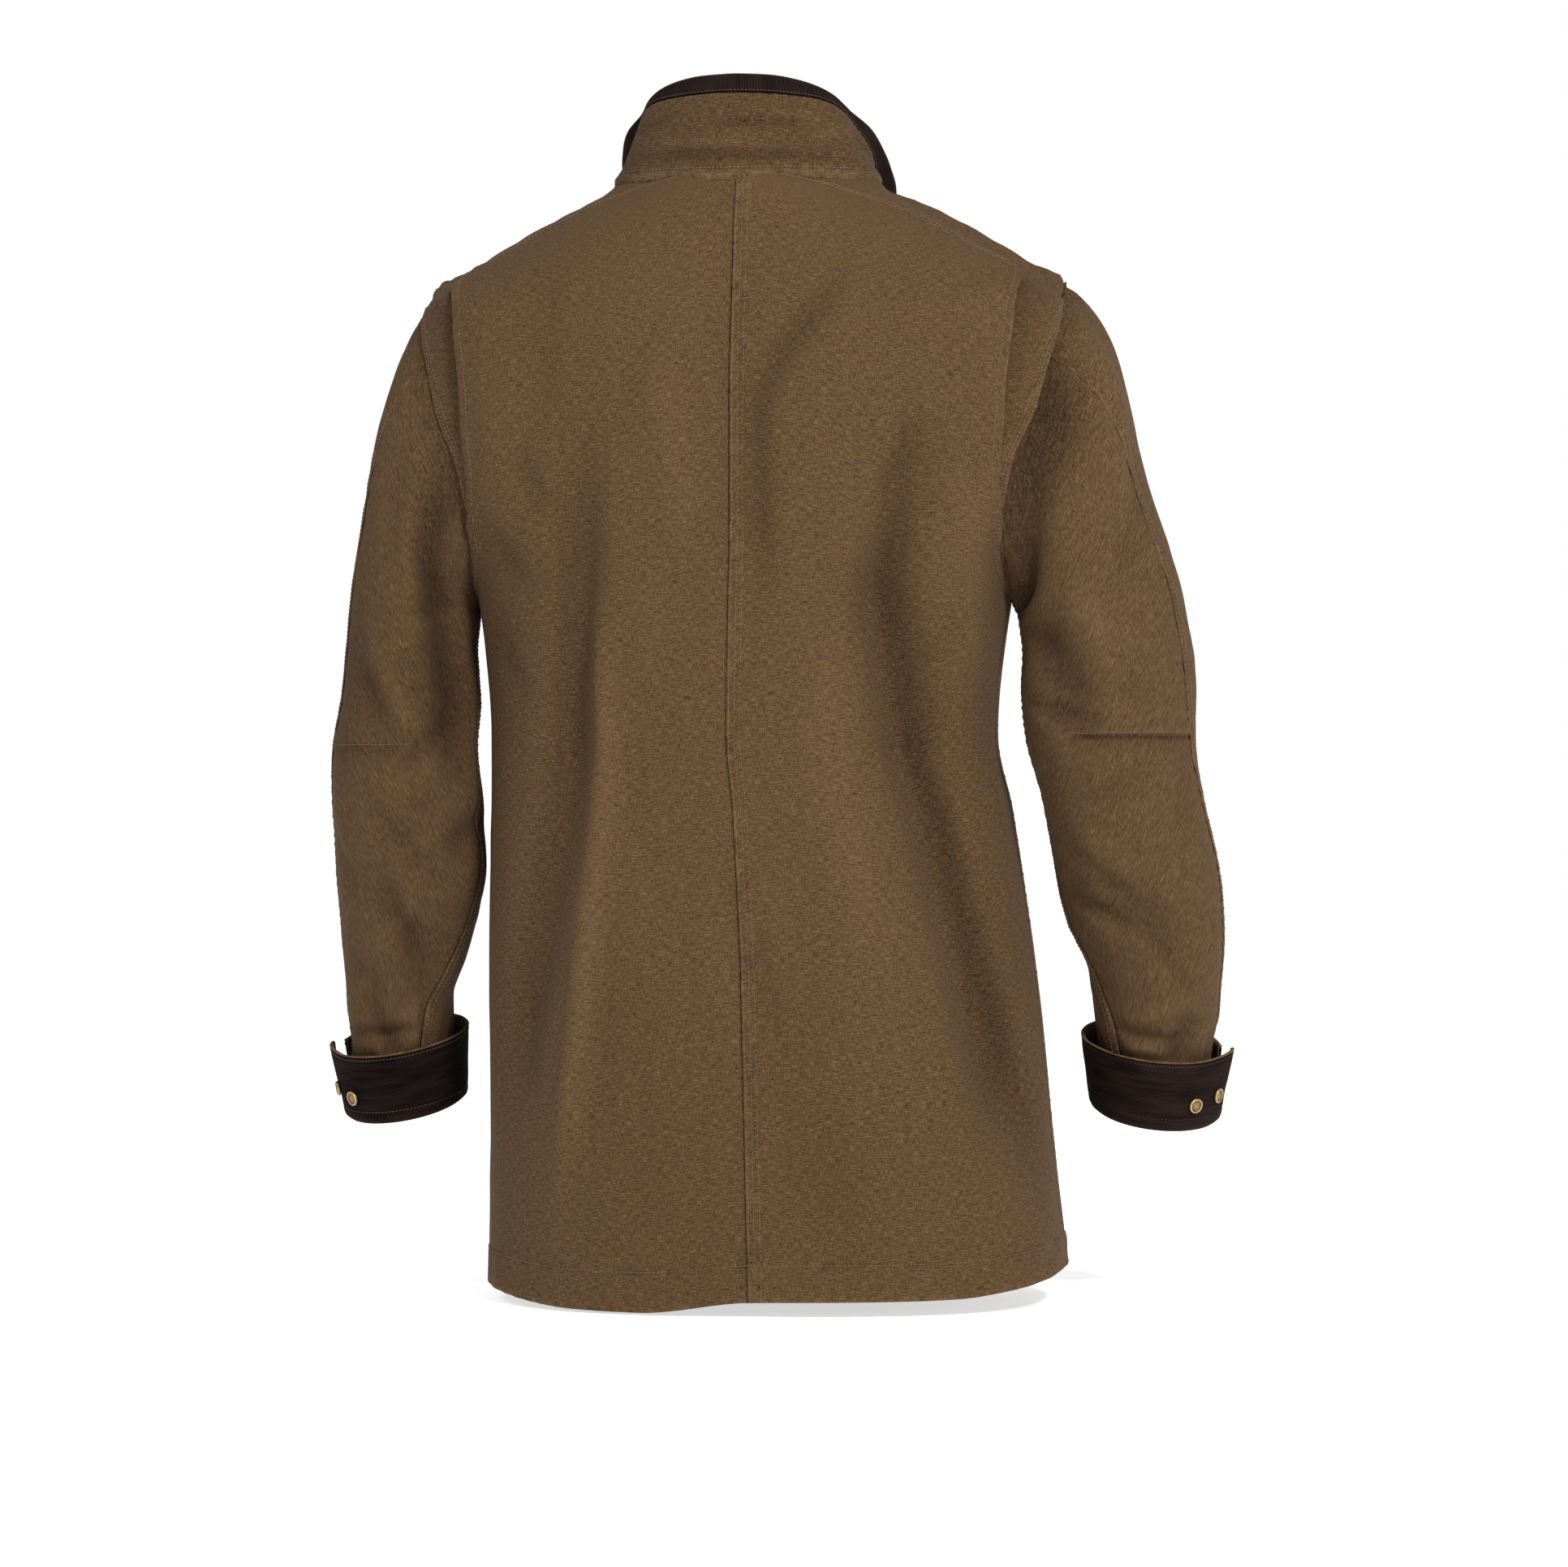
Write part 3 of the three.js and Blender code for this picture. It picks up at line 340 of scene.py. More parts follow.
FRONT_CREASES = {
    "x":     [-150, 150, -60, 70],
    "z":     [-230, -240, -480, -520],
    "to_x":  [-110, 112, -84, 96],
    "to_z":  [-340, -350, -760, -800],
    "bow":   [6, -6, 5, -5],
    "push":  [-3.5, -3.5, 2.4, 2.2],
    "width": [12, 12, 16, 16],
}
print("creases by hand:", len(BACK_CREASES["x"]) + len(FRONT_CREASES["x"]))

# %% [markdown]
# ## A shell of cloth
# Every piece is a closed wall: an outer skin, an inner skin and a rounded rim, like a real cut
# piece with its edges turned in. Each carries a map in real metres, so that the weave has the
# same size everywhere, and a value for worn places and painted shade: high where the cloth rubs
# pale, and low where shade is painted into its folds, creases, pleats and hollows.

# %% Shells, seams and bands
SEAM_PITCH = 7.0             # distance between two puckers of a sewn seam
SEAM_DEPTH = 0.35            # height of those puckers
PUCKER_REACH = 9.0           # how far into the cloth they are felt
RIM_SHARE = 0.35             # thickness of a shell's rim, as a share of the shell's
INSIDE_SHIFT = [31.0, 17.0]  # millimetres that the map of a shell's inside is moved


def lengths_along(grid, axis):
    """Distance along the rows or the columns of a grid of points, from its start."""
    steps = np.linalg.norm(np.diff(grid, axis=axis), axis=-1)
    shape = list(steps.shape)
    shape[axis] = 1
    return np.concatenate([np.zeros(shape), np.cumsum(steps, axis=axis)], axis=axis)


def pucker(from_edge, along, seed=1):
    """Puckers across a sewn seam, deep at its stitches and gone a little way into the cloth."""
    wobble = waves(along, from_edge * 0, 23, 10, seed)
    phase = along / SEAM_PITCH + 0.35 * wobble
    fade = np.exp(-(np.maximum(from_edge, 0) / PUCKER_REACH) ** 2)
    return SEAM_DEPTH * (1 + 0.6 * wobble) * np.sin(2 * np.pi * phase) * fade


def band(from_edge, width, height):
    """A layer more of cloth along an edge, with a soft step where it ends."""
    return height * (1 - smooth(width - 0.9, width + 0.9, from_edge))


def groove(distance, depth=0.25, width=1.1):
    """The small valley that a row of stitches pulls in."""
    return -depth * np.exp(-(distance / width) ** 2)


def sewn_edge(distance, along, width, height, rows, seed):
    """What a sewn edge does to the cloth: a thicker band, puckers, and valleys at its rows."""
    return band(distance, width, height) + pucker(distance, along, seed) + rows_sewn(distance, rows)


def rows_sewn(distance, rows):
    """The valleys of several stitch rows at these distances from an edge."""
    return sum(groove(distance - row) for row in rows)

# %% Meshes from arrays
def finished(name, mesh, nodes=()):
    """The object of a finished mesh, riding on the coat."""
    piece = bpy.data.objects.new(name, mesh)
    bpy.context.scene.collection.objects.link(piece)
    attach(piece, "root")
    if nodes:
        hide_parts(*nodes)
    return piece


def add_values(mesh, values, finish):
    """Gives a mesh its named numbers, one for each point, its material and smooth shading."""
    for label, numbers in values.items():
        attribute = mesh.attributes.new(label, "FLOAT", "POINT")
        attribute.data.foreach_set("value", np.ravel(numbers))
    mesh.polygons.foreach_set("use_smooth", np.ones(len(mesh.polygons), bool))
    mesh.materials.append(finish)


def mesh_piece(name, points, faces, uv, values, finish, nodes):
    """A mesh object from arrays in millimetres."""
    mesh = bpy.data.meshes.new(name)
    mesh.vertices.add(len(points))
    mesh.vertices.foreach_set("co", (points * MM).ravel())
    mesh.loops.add(faces.size)
    mesh.loops.foreach_set("vertex_index", faces.ravel())
    mesh.polygons.add(len(faces))
    mesh.polygons.foreach_set("loop_start", np.arange(0, faces.size, faces.shape[1]))
    mesh.update(calc_edges=True)
    layer = mesh.uv_layers.new(name="UVMap")
    layer.data.foreach_set("uv", (uv * MM)[faces.ravel()].ravel())
    add_values(mesh, values, finish)
    mesh.validate()
    return finished(name, mesh, nodes)


def grid_quads(n, m):
    """The faces between the points of a grid of n by m."""
    i, j = np.meshgrid(np.arange(n - 1), np.arange(m - 1), indexing="ij")
    corner = (i * m + j).ravel()
    return np.stack([corner, corner + m, corner + m + 1, corner + 1], axis=1)

# %% A closed wall
def shell(name, outer, inner, wear_and_painted_shade, finish, uv, more=None):
    """A closed wall of quads between two grids of points, in place of the node of its name."""
    outer, inner = outer.copy(), inner.copy()
    middle = (outer + inner) / 2
    for edge in (np.s_[0], np.s_[-1], np.s_[:, 0], np.s_[:, -1]):
        outer[edge] = lerp(middle[edge], outer[edge], RIM_SHARE)
        inner[edge] = lerp(middle[edge], inner[edge], RIM_SHARE)
    n, m = outer.shape[:2]
    skin, far = grid_quads(n, m), n * m
    low, left = np.arange(n - 1) * m, np.arange(m - 1)
    high, right = low + m - 1, left + (n - 1) * m
    rims = [
        (low + far, low + m + far, low + m, low),
        (high, high + m, high + m + far, high + far),
        (left + far, left, left + 1, left + 1 + far),
        (right, right + far, right + 1 + far, right + 1),
    ]
    faces = np.concatenate([skin, skin[:, ::-1] + far, *(np.stack(rim, axis=1) for rim in rims)])
    across = outer[1:, :-1] - outer[:-1, :-1]
    up = outer[:-1, 1:] - outer[:-1, :-1]
    if np.sum(np.cross(across, up) * (outer - inner)[:-1, :-1]) < 0:
        faces = faces[:, ::-1]
    points = np.concatenate([outer.reshape(-1, 3), inner.reshape(-1, 3)])
    flat_uv = np.concatenate([uv.reshape(-1, 2), uv.reshape(-1, 2) + INSIDE_SHIFT])
    values = {"wear_and_painted_shade": np.concatenate([wear_and_painted_shade.ravel(), np.zeros(far)])}
    for label, numbers in (more or {}).items():
        values[label] = np.concatenate([numbers[0].ravel(), numbers[1].ravel()])
    piece = mesh_piece(name, points, faces, flat_uv, values, finish, [name])
    print(f"{name}: {2 * len(faces)} triangles, {area_of(piece):.3f} m2")
    return piece


def area_of(piece):
    return sum(face.area for face in piece.data.polygons) / 2


# %% [markdown]
# ## Materials
# Duck canvas is a dense plain weave of slightly uneven yarns, dyed brown and washed, so it has a
# heathered look and goes pale where it rubs, and painted shade darkens it in its folds and hollows.
# Corduroy has soft ribs of pile, with their crests painted lighter and their valleys darker as painted
# highlight and shade. The caps are antique brass, darker in the recess. Each material is worked out
# from the piece's own map in metres or from object coordinates, so no image is needed.

# %% A way to write node sums
class Wire:
    """An output of a node. Sums and products of wires add the Math nodes that work them out."""

    def __init__(self, recipe, socket):
        self.recipe = recipe
        self.socket = socket

    def __add__(self, other):
        return self.recipe.math("ADD", self, other)

    def __radd__(self, other):
        return self.recipe.math("ADD", other, self)

    def __sub__(self, other):
        return self.recipe.math("SUBTRACT", self, other)

    def __rsub__(self, other):
        return self.recipe.math("SUBTRACT", other, self)

    def __mul__(self, other):
        return self.recipe.math("MULTIPLY", self, other)

    def __rmul__(self, other):
        return self.recipe.math("MULTIPLY", other, self)


class Recipe:
    """A node tree that is filled in step by step."""

    def __init__(self, tree):
        self.tree = tree

    def node(self, kind, settings=None, inputs=None):
        """A new node of a type, with its settings and with its inputs as wires or values."""
        made = self.tree.nodes.new(kind)
        for name, value in (settings or {}).items():
            setattr(made, name, value)
        for name, value in (inputs or {}).items():
            if isinstance(value, Wire):
                self.tree.links.new(value.socket, made.inputs[name])
            else:
                made.inputs[name].default_value = value
        return made

    def wire(self, kind, output=0, settings=None, inputs=None):
        return Wire(self, self.node(kind, settings, inputs).outputs[output])

    def math(self, operation, *parts):
        inputs = dict(enumerate(parts))
        return self.wire("ShaderNodeMath", 0, {"operation": operation}, inputs)

    def limit(self, value):
        return self.wire("ShaderNodeMath", 0, {"operation": "ADD", "use_clamp": True}, {0: value, 1: 0.0})

    def mix(self, share, first, second, blend="MIX"):
        """A colour between two colours."""
        settings = {"data_type": "RGBA", "blend_type": blend}
        return self.wire("ShaderNodeMix", 2, settings, {0: share, 6: first, 7: second})

    def noise(self, vector, scale, detail=2.0, rough=0.5):
        inputs = {"Vector": vector, "Scale": scale, "Detail": detail, "Roughness": rough}
        return self.wire("ShaderNodeTexNoise", 0, {}, inputs)

    def value(self, name):
        """A piece's own numbers of this name."""
        return self.wire("ShaderNodeAttribute", 2, {"attribute_name": name})

    def bump(self, height, strength, distance):
        inputs = {"Strength": strength, "Distance": distance, "Height": height}
        return self.wire("ShaderNodeBump", 0, {}, inputs)

    def stretched(self, vector, factors):
        """The same place, with each axis multiplied by its own factor."""
        return self.wire("ShaderNodeVectorMath", 0, {"operation": "MULTIPLY"}, {0: vector, 1: factors})


def new_material(name, uniform=None):
    """A material with an empty tree apart from its output and its shader with uniform values."""
    material = bpy.data.materials.new(name)
    material.use_nodes = True
    material.node_tree.nodes.clear()
    recipe = Recipe(material.node_tree)
    shader = recipe.node("ShaderNodeBsdfPrincipled", {}, uniform)
    output = recipe.node("ShaderNodeOutputMaterial")
    material.node_tree.links.new(shader.outputs[0], output.inputs[0])
    return material, recipe, shader


def sheen(specular, weight, rough, tint):
    """The uniform values of a cloth's faint gloss."""
    return {"Specular IOR Level": specular, "Sheen Weight": weight, "Sheen Roughness": rough,
            "Sheen Tint": (*tint, 1)}


def feed(recipe, shader, **wires):
    """Joins wires to the shader's inputs, whose spaces are written as underscores."""
    for name, wire in wires.items():
        recipe.tree.links.new(wire.socket, shader.inputs[name.replace("_", " ").title()])


print("node recipes ready")

# %% Canvas
YARN = 1300.0                # yarns in a metre of canvas
BROWN = (0.0555, 0.0298, 0.0117, 1)
PALE_BROWN = (0.112, 0.067, 0.0325, 1)
DARK_BROWN = (0.0115, 0.0058, 0.0019, 1)


def canvas_material():
    material, recipe, shader = new_material("canvas", sheen(0.12, 0.04, 0.6, (0.62, 0.5, 0.38)))
    place = recipe.wire("ShaderNodeUVMap", 0, {"uv_map": "UVMap"})
    warp = recipe.noise(recipe.stretched(place, (YARN, YARN / 6, 1)), 1.0, 1.0)
    weft = recipe.noise(recipe.stretched(place, (YARN / 8, YARN, 1)), 1.0, 1.0)
    slub = recipe.noise(recipe.stretched(place, (70, 850, 1)), 1.0, 2.0)
    heather = recipe.noise(recipe.stretched(place, (850, 1200, 1)), 1.0, 2.0, 0.7)
    mottle = recipe.noise(recipe.wire("ShaderNodeTexCoord", 3), 60.0, 3.0, 0.6)
    yarns = (warp - 0.5) * 1.5 + (weft - 0.5) * 1.9 + (slub - 0.5) * 0.4
    # the piece's value for worn places also carries painted shade, so folds, creases and hollows come out
    # darker
    shade = yarns + (heather - 0.5) * 1.7 + (mottle - 0.5) * 0.12 + recipe.value("wear_and_painted_shade")
    pale = recipe.mix(recipe.limit(shade + 0.05), BROWN, PALE_BROWN)
    colour = recipe.mix(recipe.limit(0.05 - shade), pale, DARK_BROWN)
    parts = [recipe.wire("ShaderNodeSeparateXYZ", axis, {}, {0: place}) for axis in (0, 1)]
    grid = [recipe.math("SINE", part * (YARN * math.pi)) for part in parts]
    weave = grid[0] * grid[1] * 0.12 + warp * 0.6 + weft * 0.6 + heather * 0.5
    feed(recipe, shader, base_color=colour, roughness=0.86 + heather * 0.12,
         normal=recipe.bump(weave, 0.42, 0.00035))
    return material


print("yarns in a millimetre of canvas:", YARN * MM)

# %% Corduroy, thread and brass
DARK_PILE = (0.0016, 0.0008, 0.0007, 1)
PALE_PILE = (0.0155, 0.0078, 0.0064, 1)
DARK_BRASS = (0.085, 0.052, 0.022, 1)
PALE_BRASS = (0.48, 0.34, 0.16, 1)


def corduroy_material():
    material, recipe, shader = new_material("corduroy", sheen(0.06, 0.03, 0.4, (0.55, 0.36, 0.3)))
    place = recipe.wire("ShaderNodeUVMap", 0, {"uv_map": "UVMap"})
    pile = recipe.noise(place, 2400.0, 2.0, 0.7)
    tufts = recipe.noise(place, 700.0, 2.0, 0.6)
    cloud = recipe.noise(recipe.wire("ShaderNodeTexCoord", 3), 30.0, 2.0, 0.5)
    # rib paints the crests of the ribs lighter and their valleys darker: painted highlight and painted shade
    light = recipe.limit(recipe.value("rib") * 0.8 + (pile - 0.5) * 0.9 + (tufts - 0.5) * 0.5
                         + (cloud - 0.5) * 0.6 + recipe.value("wear_and_painted_shade") * 0.7)
    colour = recipe.mix(light, DARK_PILE, PALE_PILE)
    feed(recipe, shader, base_color=colour, roughness=0.88 + pile * 0.1,
         normal=recipe.bump(pile + tufts, 0.6, 0.0003))
    return material


def thread_material(name, colour, bright):
    material, recipe, shader = new_material(name)
    place = recipe.wire("ShaderNodeTexCoord", 3)
    twist = recipe.noise(recipe.stretched(place, (1, 1, 0.5)), 1500.0, 1.0)
    fade = recipe.noise(place, 60.0, 2.0)
    share = recipe.limit(twist * 0.6 + fade * 0.8 - 0.2)
    feed(recipe, shader, base_color=recipe.mix(share, colour, bright), roughness=0.6 + fade * 0.2,
         normal=recipe.bump(twist, 0.4, 0.0002))
    return material


def brass_material():
    material, recipe, shader = new_material("snap_brass", {"Metallic": 0.9})
    place = recipe.wire("ShaderNodeTexCoord", 3)
    specks = recipe.noise(place, 1400.0, 3.0, 0.7)
    cloud = recipe.noise(place, 260.0, 2.0)
    share = recipe.limit(specks * 0.5 + cloud * 0.4 - 0.1 + recipe.value("wear_and_painted_shade") * 0.8)
    feed(recipe, shader, base_color=recipe.mix(share, DARK_BRASS, PALE_BRASS),
         roughness=0.62 - share * 0.28, normal=recipe.bump(specks, 0.25, 0.0001))
    return material


CANVAS_CLOTH = canvas_material()
PILE = corduroy_material()
TAN_THREAD = thread_material("tan_thread", (0.062, 0.037, 0.017, 1), (0.135, 0.088, 0.047, 1))
DARK_THREAD = thread_material("brown_thread", (0.030, 0.017, 0.010, 1), (0.07, 0.043, 0.026, 1))
BRASS = brass_material()
print("materials:", [material.name for material in bpy.data.materials])

# %% [markdown]
# ## The body panels
# The back is two panels joined down the middle by a felled seam: one panel's edge is folded over
# the other's and sewn flat with three rows. At each shoulder blade the panel ends in a pleat, a
# folded edge that stands off a strip below it and lets the arm reach forward. The fronts are plain
# and close with snaps, the left one over the right.

# %% Places across a panel, and what its seams do to it
NEAR_EDGE = np.array([0, 0.4, 1.2, 2, 2.8, 3.6, 4.5, 5.4, 6.3, 7.2, 8.1, 9, 10, 11, 12, 13.5, 15.5, 18])
NEAR_HEM = np.array([0, 0.5, 2, 6, 11, 16, 20, 23, 25, 26.2, 27.1, 28, 28.9, 29.8, 31, 34, 38, 43])
SEAM_LEAN = -2.4             # degrees that the middle seam has leant at its top
FELL = 11.0                  # width of the felled seam down the back
CB_ROWS = [1.6, 6.0, 10.2]   # distances of its stitch rows from the seam
HEM_DEPTH = 28               # height of the hem's stitching
ARM_ROWS = [2.0, 5.6, 9.2]   # stitch rows round the armhole
SHOULDER_ROWS = [2.0, 7.5]
FRONT_ROWS = [5.0, 34.0]     # stitch rows beside the left front's edge
PLACKET = 34                 # width of the turned facing of each front
PLEAT_ROW = 8.0              # from the pleat's edge to its stitches
PLEAT_SINK = 5.0             # how far the strip sinks under the pleat
STRIP_TOP = 774              # where the strip ends, under the shoulder seam
TUCK = 4.0                   # how far the lower piece of a seam runs on under the upper one
TUCK_DEPTH = 1.7             # how far below the upper piece's skin it lies there


def spread(surface, start, end, rings, near, far, middle):
    """Places across each ring: some at fixed distances from its edges, the others even between."""
    turns = lerp(start, end, np.linspace(0, 1, 161)[:, None])
    lengths = lengths_along(surface(turns, rings[None, :] + 0 * turns), 0)
    placed = np.empty((len(near) + middle + len(far), len(rings)))
    for ring in range(len(rings)):
        whole = lengths[-1, ring]
        squeeze = min(1, 0.4 * whole / near[-1], 0.4 * whole / far[-1])
        first, last = near * squeeze, whole - far[::-1] * squeeze
        between = np.linspace(first[-1], last[0], middle + 2)[1:-1]
        places = np.concatenate([first, between, last])
        placed[:, ring] = np.interp(places, lengths[:, ring], turns[:, ring])
    return placed

# %% Plain cloth, the pleat and the hem
def unevenness(x, z):
    """What keeps plain cloth from being smooth: low waves of two sizes."""
    return 0.9 * waves(x + 500, z + 2000, 34, 95, 3) + 0.35 * waves(x + 700, z + 2000, 15, 27, 4)


def pleat_lift(up, from_edge):
    near = 1 - smooth(PLEAT_UNDERLAP + 4, PLEAT_UNDERLAP + 46, from_edge)
    sewn_down = smooth(STRIP_TOP - 16, STRIP_TOP + 14, up)
    return PLEAT_LIFT * near * smooth(PLEAT_UP - 40, PLEAT_UP, up) * (1 - 0.65 * sewn_down)


def hem_lift(up, around):
    """The turned-up hem: a thicker band with slanting ripples, pulled in at its stitches."""
    lift = band(up, HEM_DEPTH + 1.2, 0.8) + groove(up - HEM_DEPTH, 0.35, 1.6)
    roping = np.sin(2 * np.pi * (around / 12.5 + up / 55) + 2 * waves(around, up, 60, 60, 6))
    return lift + 0.5 * roping * (1 - smooth(22, 34, up))


panels = {}
# How many columns each kind of panel has between its two fine edges.
COLUMNS = {"back": 52, "back_pleat": 6, "front": 30, "sleeve_top": 40, "sleeve_under": 30}


def kind_of(name):
    """The name of a piece without its side."""
    return name.rsplit("_", 1)[0]

# %% Cut a panel
def body_panel(name, rings, start, end, detail, tuck=0.0):
    """A panel of the body. detail gives the push off the plain surface, and the rubbing with its painted
    shade.
    tuck is how far its first edge runs on under its neighbour."""
    kind = kind_of(name)
    turn = np.sign(end(rings) - start(rings))
    half = SEAM_GAP / 2
    first = start(rings) + turn * np.degrees((half - tuck) / body_reach(start(rings), rings))
    last = end(rings) - turn * np.degrees(half / body_reach(end(rings), rings))
    angle = spread(body_point, first, last, rings, NEAR_EDGE, NEAR_EDGE, int(COLUMNS[kind] * FINE))
    up = rings[None, :] + 0 * angle
    base = body_point(angle, up)
    normal = body_normal(angle, up)
    from_start = lengths_along(base, 0)
    from_end = from_start[-1:] - from_start
    lift, wear_and_painted_shade = detail(base, angle, up, from_start - tuck, from_end)
    lift = lift - (TUCK_DEPTH * (1 - smooth(-0.6, 0.5, from_start - tuck)) if np.any(tuck) else 0)
    outer = base + normal * lift[..., None]
    panels[name] = {"outer": outer, "normal": normal, "up": up,
                    "from_start": from_start, "from_end": from_end}
    uv = np.stack([from_start, lengths_along(outer, 1)], axis=-1)
    piece = shell(name, outer, outer - normal * CLOTH, wear_and_painted_shade, CANVAS_CLOTH, uv)

# %% Where the cloth wears
def edge_wear(distance, along, seed):
    """Pale worn spots along a folded edge, with dark ones between them."""
    spots = waves(along, distance * 0, 5.5, 10, seed) + 0.6 * waves(along, distance * 0, 19, 10, seed + 1)
    return (0.22 + 0.3 * spots) * np.exp(-(distance / 2.2) ** 2)


def sewn_wear(distance, rows, along, seed):
    """Pale puckers and dark hollows between and beside stitch rows."""
    total = np.zeros(np.shape(distance))
    for index, row in enumerate(rows):
        spots = waves(along, distance * 0, 4.5, 10, seed + index)
        total += (0.24 * spots - 0.04) * np.exp(-((distance - row) / 2.4) ** 2)
    return total


def near_line(distance, width):
    """1 on a line and next to nothing a few widths away."""
    return np.exp(-(distance / width) ** 2)


def on_back(table, base, angle, up):
    """Places x and z of a panel's points with no sway, and the push of its creases there."""
    x, z = base[..., 0] - column(BODY, "up", "sway", up), base[..., 2]
    return x, z, crease_push(table, x, z) * np.minimum(1, np.abs(cosine(angle)) * FOLD_REACH)


def hem_wear(up, x, seed):
    return edge_wear(up, x, seed) + sewn_wear(up, [HEM_DEPTH], x, seed + 2)

# %% The back in detail
def back_detail(sign):
    def detail(base, angle, up, from_start, from_end):
        x, z, push = on_back(BACK_CREASES, base, angle, up)
        calm = smooth(0, 26, from_end)
        push = push * lerp(0.4, 1, calm) + unevenness(x, z) * lerp(0.2, 1, calm)
        pleat_open = smooth(PLEAT_UP - 8, PLEAT_UP, up)
        at_pleat = pleat_open * (1 - smooth(TIP_UP - 6, TIP_UP, up))
        at_arm = smooth(ARMPIT_UP - 2, ARMPIT_UP + 6, up) * (1 - pleat_open)
        at_shoulder = smooth(TIP_UP - 2, TIP_UP + 5, up)
        at_side = 1 - smooth(ARMPIT_UP - 8, ARMPIT_UP, up)
        lift = push + pleat_lift(up, from_end) + hem_lift(up, x)
        lift = lift + pucker(from_start, up, 11) * smooth(0, 30, up)
        lift = lift + at_shoulder * sewn_edge(from_end, x, 9, 0.8, SHOULDER_ROWS, 13)
        lift = lift + at_arm * sewn_edge(from_end, up, 11, 0.9, ARM_ROWS, 15)
        lift = lift + at_side * sewn_edge(from_end, up, 9, 0.6, [], 17)
        lift = lift + at_pleat * (groove(from_end - PLEAT_ROW, 0.35) - 1.2 * near_line(from_end, 1.6))
        # painted shade: the cloth is darker in the valleys of its creases, folds and low waves and lighter
        # on their ridges
        wear_and_painted_shade = 0.03 * push + 0.021 * fold_push(BACK_FOLDS, x, z) + hem_wear(up, x, 39)
        wear_and_painted_shade = wear_and_painted_shade + at_shoulder * (edge_wear(from_end, x, 31) + sewn_wear(from_end, SHOULDER_ROWS, x, 33))
        wear_and_painted_shade = wear_and_painted_shade + at_arm * sewn_wear(from_end, ARM_ROWS, up, 35)
        wear_and_painted_shade = wear_and_painted_shade + 1.5 * at_pleat * edge_wear(from_end, up, 37)
        if sign < 0:
            lift = lift + band(from_start, FELL, 1.0) + rows_sewn(from_start, CB_ROWS)
            wear_and_painted_shade = wear_and_painted_shade + edge_wear(from_start, up, 21) + sewn_wear(from_start, CB_ROWS, up, 23)
        else:
            lift = lift + 0.12 * band(from_start, 2, 1.0)
            wear_and_painted_shade = wear_and_painted_shade - 0.5 * near_line(from_start, 1.0)
        return lift, wear_and_painted_shade
    return detail

# %% The front in detail
def front_detail(sign):
    def detail(base, angle, up, from_start, from_end):
        x, z, push = on_back(FRONT_CREASES, base, angle, up)
        calm = smooth(0, 26, from_start)
        push = push * calm + unevenness(x + 90, z) * lerp(0.2, 1, calm)
        at_arm = smooth(ARMPIT_UP - 2, ARMPIT_UP + 6, up) * (1 - smooth(TIP_UP - 6, TIP_UP, up))
        flat = 1 - smooth(PLACKET + 10, PLACKET + 26, from_end)
        placket = band(from_end, PLACKET, 0.7) + sum(groove(from_end - row, 0.3) for row in FRONT_ROWS)
        push = push * (1 - 0.7 * flat)
        lift = push + at_arm * sewn_edge(from_start, up, 11, 0.9, ARM_ROWS, 45)
        lift = lift + placket * (1 if sign > 0 else 0.3) + hem_lift(up, x) * (1 - 0.4 * flat)
        if sign < 0:
            under = 1 - smooth(FRONT_LAP + 4, FRONT_LAP + 24, -x)
            lift = lift * smooth(10, 40, -x) - (CANVAS + SEAM_GAP + 0.2) * under
        # painted shade: the cloth is darker in the valleys of its creases, folds and low waves and lighter
        # on their ridges
        wear_and_painted_shade = 0.03 * push + 0.021 * fold_push(FRONT_FOLDS, x, z) + edge_wear(from_end, up, 47)
        wear_and_painted_shade = wear_and_painted_shade + at_arm * sewn_wear(from_start, ARM_ROWS, up, 49) + hem_wear(up, x, 51)
        # painted shadow: a dark line along the front's edge under the back's lapped shoulder seam
        wear_and_painted_shade = wear_and_painted_shade - 0.5 * smooth(TIP_UP, TIP_UP + 6, up) * near_line(from_start, 2.5)
        return lift, wear_and_painted_shade
    return detail


print("stitch rows round an armhole:", len(ARM_ROWS))

# %% Cut the body panels
TOP_OF_BODY = NECK_UP - SEAM_GAP


def evenly(start, end, count):
    return np.linspace(start, end, int(count * FINE))


body_rings = np.concatenate([NEAR_HEM, evenly(48, TOP_OF_BODY - 2, 205), [TOP_OF_BODY - 0.5, TOP_OF_BODY]])
front_rings = np.concatenate([
    NEAR_HEM, evenly(50, TIP_UP - 3, 96), [TIP_UP, TIP_UP + 0.6],
    evenly(TIP_UP + 4, TOP_OF_BODY - 2, 24), [TOP_OF_BODY - 0.5, TOP_OF_BODY],
])
pleat_rings = np.concatenate([
    [PLEAT_UP, PLEAT_UP + 0.5], evenly(PLEAT_UP + 4, STRIP_TOP - 2, 46), [STRIP_TOP - 0.5, STRIP_TOP],
])


def mirrored(sign, angle_of):
    return lambda up: sign * angle_of(up)


def middle_seam(up):
    """The seam down the back leans a little to the right as it rises."""
    return SEAM_LEAN * smooth(0, 400, up)


def pleat_start(up):
    edge = pleat_angle(up)
    return edge - np.degrees(PLEAT_UNDERLAP / body_reach(edge, up))


def arm_back_angle(up):
    return edge_angle(up, "arm_back")


def lap_edge(up):
    return lap_angle(up, FRONT_LAP)


